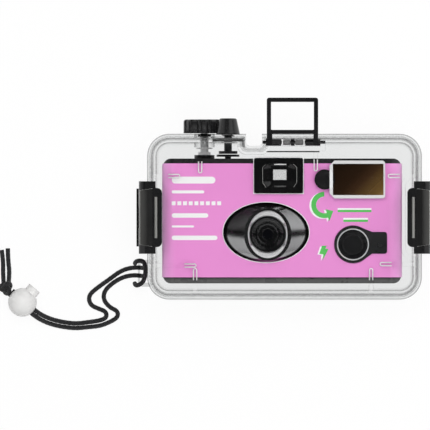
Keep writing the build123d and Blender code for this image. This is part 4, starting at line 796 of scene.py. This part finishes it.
# Printed marks on the card

def flat_print(name, outline, material, level):
    """A printed mark: a thin sheet with the given outline, lying on the card."""
    low = card_front + print_rise * (level - 1) + print_gap
    high = low + print_depth

    def build(bm):
        lower = [bm.verts.new((x, y, low)) for x, y in outline]
        upper = [bm.verts.new((x, y, high)) for x, y in outline]
        for corners in tessellate_polygon([[Vector((x, y, 0)) for x, y in outline]]):
            for ring in (lower, upper):
                bm.faces.new([ring[corner] for corner in corners])
        join_rings(bm, lower, upper)
    piece = mesh_object(name, build, material, smooth=False)
    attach(piece, "root")


def moved(outline, dx, dy):
    """An outline pushed sideways."""
    return [(x + dx, y + dy) for x, y in outline]


def rounded_bar(left, right, middle_y, height):
    """Outline of a bar with round ends."""
    radius = height / 2
    outline = []
    for centre_x, start in ((right - radius, -90), (left + radius, 90)):
        for n in range(bar_end_steps + 1):
            angle = math.radians(start + 180 * n / bar_end_steps)
            outline.append((centre_x + radius * math.cos(angle),
                            middle_y + radius * math.sin(angle)))
    return outline


def rectangle(left, right, middle_y, height):
    """Outline of a plain bar."""
    low, high = middle_y - height / 2, middle_y + height / 2
    return [(left, low), (right, low), (right, high), (left, high)]


def arrow_outline():
    """A bent arrow: a round band and its head."""
    cx, cy = arrow_centre
    outer, inner = [], []
    for n in range(arrow_steps + 1):
        angle = arrow_start + (arrow_end - arrow_start) * n / arrow_steps
        for radius, side in ((arrow_radius, outer), (arrow_radius - arrow_band, inner)):
            side.append((cx + radius * math.cos(angle), cy + radius * math.sin(angle)))
    middle = arrow_radius - arrow_band / 2
    tip_angle = arrow_end + arrow_head_length / middle
    corners = [(middle + arrow_head_width / 2, arrow_end), (middle, tip_angle),
               (middle - arrow_head_width / 2, arrow_end)]
    head = [(cx + radius * math.cos(angle), cy + radius * math.sin(angle))
            for radius, angle in corners]
    return outer + head + inner[::-1]


def bolt_outline():
    """A plain lightning bolt."""
    cx, cy = bolt_centre
    return [(cx + u * bolt_width, cy + v * bolt_height) for u, v in bolt_outline_shares]


def ring_print(name, outer, inner):
    """A printed white border between two outlines with as many points."""
    low = card_front + print_gap

    def build(bm):
        lower, upper = [[[bm.verts.new((x, y, height)) for x, y in line] for line in (outer, inner)]
                        for height in (low, low + print_depth)]
        join_rings(bm, *lower)
        join_rings(bm, *upper)
        for below, above in zip(lower, upper):
            join_rings(bm, below, above)
    piece = mesh_object(name, build, "ink_white", smooth=False)
    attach(piece, "root")


def ellipse_points(centre, half_width, half_height, count):
    """Points round an ellipse."""
    return [(centre[0] + half_width * math.cos(2 * math.pi * n / count),
             centre[1] + half_height * math.sin(2 * math.pi * n / count)) for n in range(count)]


def border_round(name, node, oval):
    """White border of the card round something that stands through it."""
    low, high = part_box(node)
    centre = ((low.x + high.x) / 2, (low.y + high.y) / 2)
    half = ((high.x - low.x) / 2, (high.y - low.y) / 2)
    if oval:
        outer, inner = [ellipse_points(centre, half[0] + grow, half[1] + grow, oval_points)
                        for grow in (outline_width, -outline_overlap)]
    else:
        outer, inner = [[(centre[0] + sx * (half[0] + grow), centre[1] + sy * (half[1] + grow))
                         for sx, sy in ((1, 1), (-1, 1), (-1, -1), (1, -1))]
                        for grow in (outline_width, -outline_overlap)]
    ring_print(name, outer, inner)


def print_marks():
    """All the marks on the card: a white one on level 1, and a green one above it on level 2."""
    for mark, outline in (("arrow", arrow_outline()), ("bolt", bolt_outline())):
        shadow = moved(outline, print_shadow_x, print_shadow_y)
        flat_print(f"print_{mark}_shadow", shadow, "ink_white", 1)
        flat_print(f"print_{mark}", outline, "ink_green", 2)
    for row, (middle_y, length, height) in enumerate(bar_rows):
        bar = rounded_bar(bar_left, bar_left + length, middle_y, height)
        flat_print(f"print_bar_{row}", bar, "ink_white", 1)
    for number in range(square_count):
        left = bar_left + number * square_pitch
        square = rectangle(left, left + square_size, square_row_y, square_size)
        flat_print(f"print_square_{number}", square, "ink_white", 1)
    for row, (left, right, middle_y) in enumerate(green_bars):
        white = rectangle(left, right, middle_y + white_bar_shift, green_bar_height)
        flat_print(f"print_line_{row}", white, "ink_white", 1)
        green = rectangle(left, right, middle_y, green_bar_height)
        flat_print(f"print_green_bar_{row}", green, "ink_green", 2)
    border_round("print_lens_border", "lens_surround", True)
    border_round("print_finder_border", "viewfinder_bezel", False)


print_marks()


# Small pieces that only the eye needs

def round_wire(bm, line, radius, closed=False):
    """A thin round bead along a line."""
    count = len(line)
    rings = []
    for n, point in enumerate(line):
        ahead = line[(n + 1) % count] if closed or n < count - 1 else point
        behind = line[n - 1] if closed or n else point
        direction = (ahead - behind).normalized()
        up = Vector((0, 0, 1))
        side = direction.cross(up).normalized()
        angles = [2 * math.pi * k / bead_sides for k in range(bead_sides)]
        rings.append([bm.verts.new(point + (side * math.cos(a) + up * math.sin(a)) * radius)
                      for a in angles])
    for ring, following in zip(rings, rings[1:]):
        join_rings(bm, ring, following)
    if closed:
        join_rings(bm, rings[-1], rings[0])
    else:
        bm.faces.new(rings[0])
        bm.faces.new(rings[-1])


def wire_object(name, line, radius, material, closed=False):
    """A thin round bead as an object of its own."""
    return mesh_object(name, lambda bm: round_wire(bm, line, radius, closed), material)


def rib_highlight(number, end, run):
    """Painted highlight: a bright bead round the free end of a clear rib."""
    height = card_front + rib_highlight_rise
    across = (-run[1], run[0])
    corner = rib_half_width + rib_edge_radius
    outline = [(-corner, rib_highlight_length), (-corner, 0.0), (-corner / 2, -corner / 2),
               (corner / 2, -corner / 2), (corner, 0.0), (corner, rib_highlight_length)]
    line = [Vector((end[0] + across[0] * u + run[0] * v,
                    end[1] + across[1] * u + run[1] * v, height)) for u, v in outline]
    piece = wire_object(f"rib_highlight_{number}", line, rib_edge_radius, "bright_edge")
    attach(piece, "root")


def latch_pad(side, name):
    """Crowned panel on the hook's lip, with slanted ends, and a fine grey bead along its edge that
    is a painted highlight.
    """
    low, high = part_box(name)
    middle_y = (low.y + high.y) / 2
    top = high.z

    def build(bm):
        rows = []
        for n in range(pad_steps + 1):
            share = n / pad_steps
            x = side * (pad_inner_x + (pad_outer_x - pad_inner_x) * share)
            half = pad_half_length - pad_slant * share
            crown = top + pad_rise * (1 - (2 * share - 1) ** 2)
            foot = top - pad_rise
            section = ((-half, foot), (-half, crown), (half, crown), (half, foot))
            rows.append([bm.verts.new((x, middle_y + y, z)) for y, z in section])
        for row, following in zip(rows, rows[1:]):
            join_rings(bm, row, following)
        bm.faces.new(rows[0])
        bm.faces.new(rows[-1])
    piece = mesh_object(f"latch_pad_{name}", build, "pad_black", smooth=False)
    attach(piece, name)
    corners = [(pad_inner_x, -pad_half_length), (pad_outer_x, pad_slant - pad_half_length),
               (pad_outer_x, pad_half_length - pad_slant), (pad_inner_x, pad_half_length)]
    edge = [Vector((side * x, middle_y + y, top + pad_highlight_radius)) for x, y in corners]
    line = wire_object(f"latch_highlight_{name}", edge, pad_highlight_radius, "edge_grey")
    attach(line, name)


def raised_ring(name, node, radius, thickness, material, body):
    """A raised ring on the front of a round piece."""
    low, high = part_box(node)
    centre = Vector(((low.x + high.x) / 2, (low.y + high.y) / 2, high.z))
    circle = ellipse_points((0, 0), radius, radius, ring_points)
    line = [centre + Vector((x, y, 0)) for x, y in circle]
    piece = wire_object(name, line, thickness, material, closed=True)
    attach(piece, body)


def finder_line(name, points, radius, material):
    """A thin line of painted light on the viewfinder's front."""
    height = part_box("viewfinder_bezel")[1].z
    line = [Vector((x, y, height)) for x, y in points]
    piece = wire_object(name, line, radius, material)
    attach(piece, "root")


def bead(name, start, end, radius, material):
    """A straight round bead between two points of the case."""
    line = [Vector(start), Vector(end)]
    piece = wire_object(name, line, radius, material)
    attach(piece, "root")


def hinge_details():
    """Painted light: the pin as the clear knuckles magnify it, painted as a grey glare, painted
    highlights on their ends, and a painted dim grey line along the recess's edge.
    """
    low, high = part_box("finder_hinge_pin")
    y, z = (low.y + high.y) / 2, (low.z + high.z) / 2
    for number, (left, right) in enumerate(knuckle_spans):
        bead(f"hinge_in_knuckle_{number}", (left, y, z), (right, y, z), magnified_pin_radius,
             "edge_glare")
    for number, x in enumerate(knuckle_ends):
        bead(f"knuckle_end_{number}", (x, y - knuckle_end_reach, z + magnified_pin_radius),
             (x, y + knuckle_end_reach, z + magnified_pin_radius), rib_edge_radius, "bright_edge")
    bead("recess_edge", (recess_edge_left, recess_edge_y, recess_edge_z),
         (recess_edge_right, recess_edge_y, recess_edge_z), rib_edge_radius, "edge_dark")


def finder_lines():
    """Bright lines on the viewfinder: painted highlights on its octagon's edges, and painted
    reflections as bars above and below its window.
    """
    left, right = octagon_sides
    low, high = octagon_ends
    for name, side, inward in (("left", left, 1), ("right", right, -1)):
        cut_x = side + inward * octagon_cut
        corners = [(cut_x, high), (side, high - octagon_cut), (side, low + octagon_low_cut),
                   (cut_x, low)]
        finder_line(f"finder_octagon_{name}", corners, octagon_line_radius, "edge_grey")
    for name, (bar_y, radius, material) in finder_painted_reflections.items():
        finder_line(f"finder_bar_{name}", [(finder_bar_left, bar_y), (finder_bar_right, bar_y)],
                    radius, material)


for rib_number, (rib_end, rib_run) in enumerate(rib_ends):
    rib_highlight(rib_number, rib_end, rib_run)
latch_pad(1, "latch_hook_right")
latch_pad(-1, "latch_hook_left")
raised_ring("flash_button_ring", "flash_button", button_ring_radius, button_ring_thickness,
            "chrome", "root")
raised_ring("flash_button_dish", "flash_button", button_dish_radius, dish_edge_thickness,
            "knob_black", "flash_button")
raised_ring("gel_pivot_dish", "gel_pivot", pivot_dish_radius, dish_edge_thickness,
            "knob_black", "root")
finder_lines()
hinge_details()


# Materials of the part's own nodes

NODE_MATERIALS = {
    "clear_case": ["case_rear_shell", "case_front_shell"],
    "clear_gasket": ["case_gasket"],
    "clear_window": ["viewfinder_front_lens", "viewfinder_rear_lens", "flash_tube"],
    "flash_diffuser": ["flash_window"],
    "frosted_rim": ["gel_frame"],
    "lens_glass": ["lens_element"],
    "knob_black": ["winder_knob", "shutter_plunger_cap"],
    "satin_black": ["finder_frame", "finder_hinge_pin", "latch_lever_left", "latch_lever_right",
                    "latch_hook_left", "latch_hook_right", "shutter_plunger_rod", "release_button",
                    "flash_button", "gel_pivot", "shutter_blade", "camera_chassis",
                    "advance_wheel", "frame_counter_disc", "cartridge_spool"],
    "gloss_black": ["viewfinder_bezel", "lens_barrel"],
    "camera_black": ["camera_front_cover", "camera_back_cover", "flash_button_bezel"],
    "rubber_black": ["winder_oring", "shutter_plunger_seal"],
    "white_ball": ["cord_lock_ball", "cord_lock_plunger"],
    "board_green": ["circuit_board"],
    "film_base": ["film_strip", "film_supply_roll"],
    "can_paint": ["film_cartridge", "battery", "flash_capacitor"],
    "steel": ["winder_shaft", "winder_clip", "shutter_plunger_spring", "shutter_plunger_clip",
              "latch_pivot_pins", "cord_lock_spring"],
    "roller_steel": ["latch_roller_left", "latch_roller_right"],
    "chrome": ["lens_ring"],
    "dark_chrome": ["lens_surround"],
    "foil": ["flash_reflector"],
    "gel_yellow_film": ["gel_yellow"],
    "gel_magenta_film": ["gel_magenta"],
    "gel_cyan_film": ["gel_cyan"],
    "printed_card": ["camera_wrap_label"],
}


def dress_nodes():
    """Give every node of the part its material."""
    for material, names in NODE_MATERIALS.items():
        for name in names:
            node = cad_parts[name]
            node.data.materials.clear()
            node.data.materials.append(materials[material])


dress_nodes()

# Width of the rounding on the edges of the part's nodes
BEVELS = {
    0.0003: ["finder_frame", "latch_hook_left", "latch_hook_right", "latch_lever_left",
             "latch_lever_right", "viewfinder_bezel", "flash_button_bezel", "flash_button",
             "winder_knob", "shutter_plunger_cap", "lens_barrel", "gel_pivot"],
    0.0007: ["lens_ring"],
    0.00045: ["case_front_shell", "case_rear_shell"],
    0.00025: ["gel_frame", "camera_front_cover", "cord_lock_plunger"],
}


def round_edges():
    """Small roundings on the edges that catch the light."""
    for width, names in BEVELS.items():
        for name in names:
            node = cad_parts[name]
            weld = node.modifiers.new("weld", "WELD")
            weld.merge_threshold = weld_distance
            bevel = node.modifiers.new("bevel", "BEVEL")
            bevel.width = width
            bevel.segments = bevel_segments
            bevel.limit_method = "ANGLE"
            bevel.angle_limit = bevel_angle
            bevel.harden_normals = True


round_edges()


# Studio

def make_floor():
    """Plain white table: bright where it is seen, and a soft shadow stays on it."""
    nodes, links, shader = new_material("white_table")
    set_inputs(shader, {"Base Color": (*floor_colour, 1), "Roughness": 0.6})
    light = nodes.new("ShaderNodeEmission")
    set_inputs(light, {"Color": (1, 1, 1, 1), "Strength": 1.0})
    rays = nodes.new("ShaderNodeLightPath").outputs
    seen = maths(nodes, links, "MAXIMUM", rays["Is Camera Ray"], rays["Is Transmission Ray"])
    mirrored = maths(nodes, links, "MAXIMUM", seen, rays["Is Glossy Ray"])
    share = maths(nodes, links, "MULTIPLY", mirrored, floor_white_share)
    surface = mix_shaders(nodes, links, share, shader, light)
    links.new(surface.outputs[0], nodes["Material Output"].inputs["Surface"])

    def build(bm):
        half = floor_size / 2
        corners = [(-half, -half), (half, -half), (half, half), (-half, half)]
        bm.faces.new([bm.verts.new((x, y, -floor_drop)) for x, y in corners])
    floor = mesh_object("white_table", build, "white_table", smooth=False)


def softbox(name, place, size, power):
    """A soft lamp that looks at the case, and that gloss doesn't mirror."""
    data = bpy.data.lights.new(name, "AREA")
    data.shape = "RECTANGLE"
    data.size, data.size_y = size
    data.energy = power
    data.color = lamp_warmth
    lamp = collection_link(bpy.data.objects.new(name, data))
    lamp.location = place
    lamp.rotation_mode = "QUATERNION"
    lamp.rotation_quaternion = (Vector(lamp_aim) - Vector(place)).to_track_quat("-Z", "Y")
    lamp.visible_glossy = False


def grey_steps(nodes, links, position, stops):
    """A grey that changes along a direction of the room."""
    colours = [(place, (grey, grey, grey)) for place, grey in stops]
    return colour_steps(nodes, links, position, colours)


def plain_background(nodes, colour):
    """A background of one colour."""
    background = nodes.new("ShaderNodeBackground")
    background.inputs["Color"].default_value = (*colour, 1)
    return background


def make_world():
    """Studio room: its light is even, and gloss mirrors its dark flags and pale walls."""
    world = bpy.data.worlds.new("studio")
    scene.world = world
    world.use_nodes = True
    nodes, links = world.node_tree.nodes, world.node_tree.links
    even = nodes["Background"]
    set_inputs(even, {"Color": (*room_colour, 1), "Strength": room_light})
    direction = position_parts(nodes, links, "Generated")
    height = value_range(nodes, links, direction["Y"], start=-1.0)
    across = value_range(nodes, links, direction["X"], start=-1.0)
    table = plain_background(nodes, (table_grey, table_grey, table_grey))
    white = plain_background(nodes, (1, 1, 1))
    walls = nodes.new("ShaderNodeBackground")
    links.new(grey_steps(nodes, links, across, wall_stops), walls.inputs["Color"])
    links.new(grey_steps(nodes, links, height, dark_band_stops), walls.inputs["Strength"])
    room = mix_shaders(nodes, links, grey_steps(nodes, links, height, horizon_stops), walls, table)
    rays = nodes.new("ShaderNodeLightPath").outputs
    mirrored = mix_shaders(nodes, links, rays["Is Glossy Ray"], even, room)
    surface = mix_shaders(nodes, links, rays["Is Camera Ray"], mirrored, white)
    links.new(surface.outputs[0], nodes["World Output"].inputs["Surface"])


make_floor()
make_world()
for lamp_name, (lamp_place, lamp_size, lamp_power) in lamps.items():
    softbox(lamp_name, lamp_place, lamp_size, lamp_power)
scene.view_settings.view_transform = "Standard"
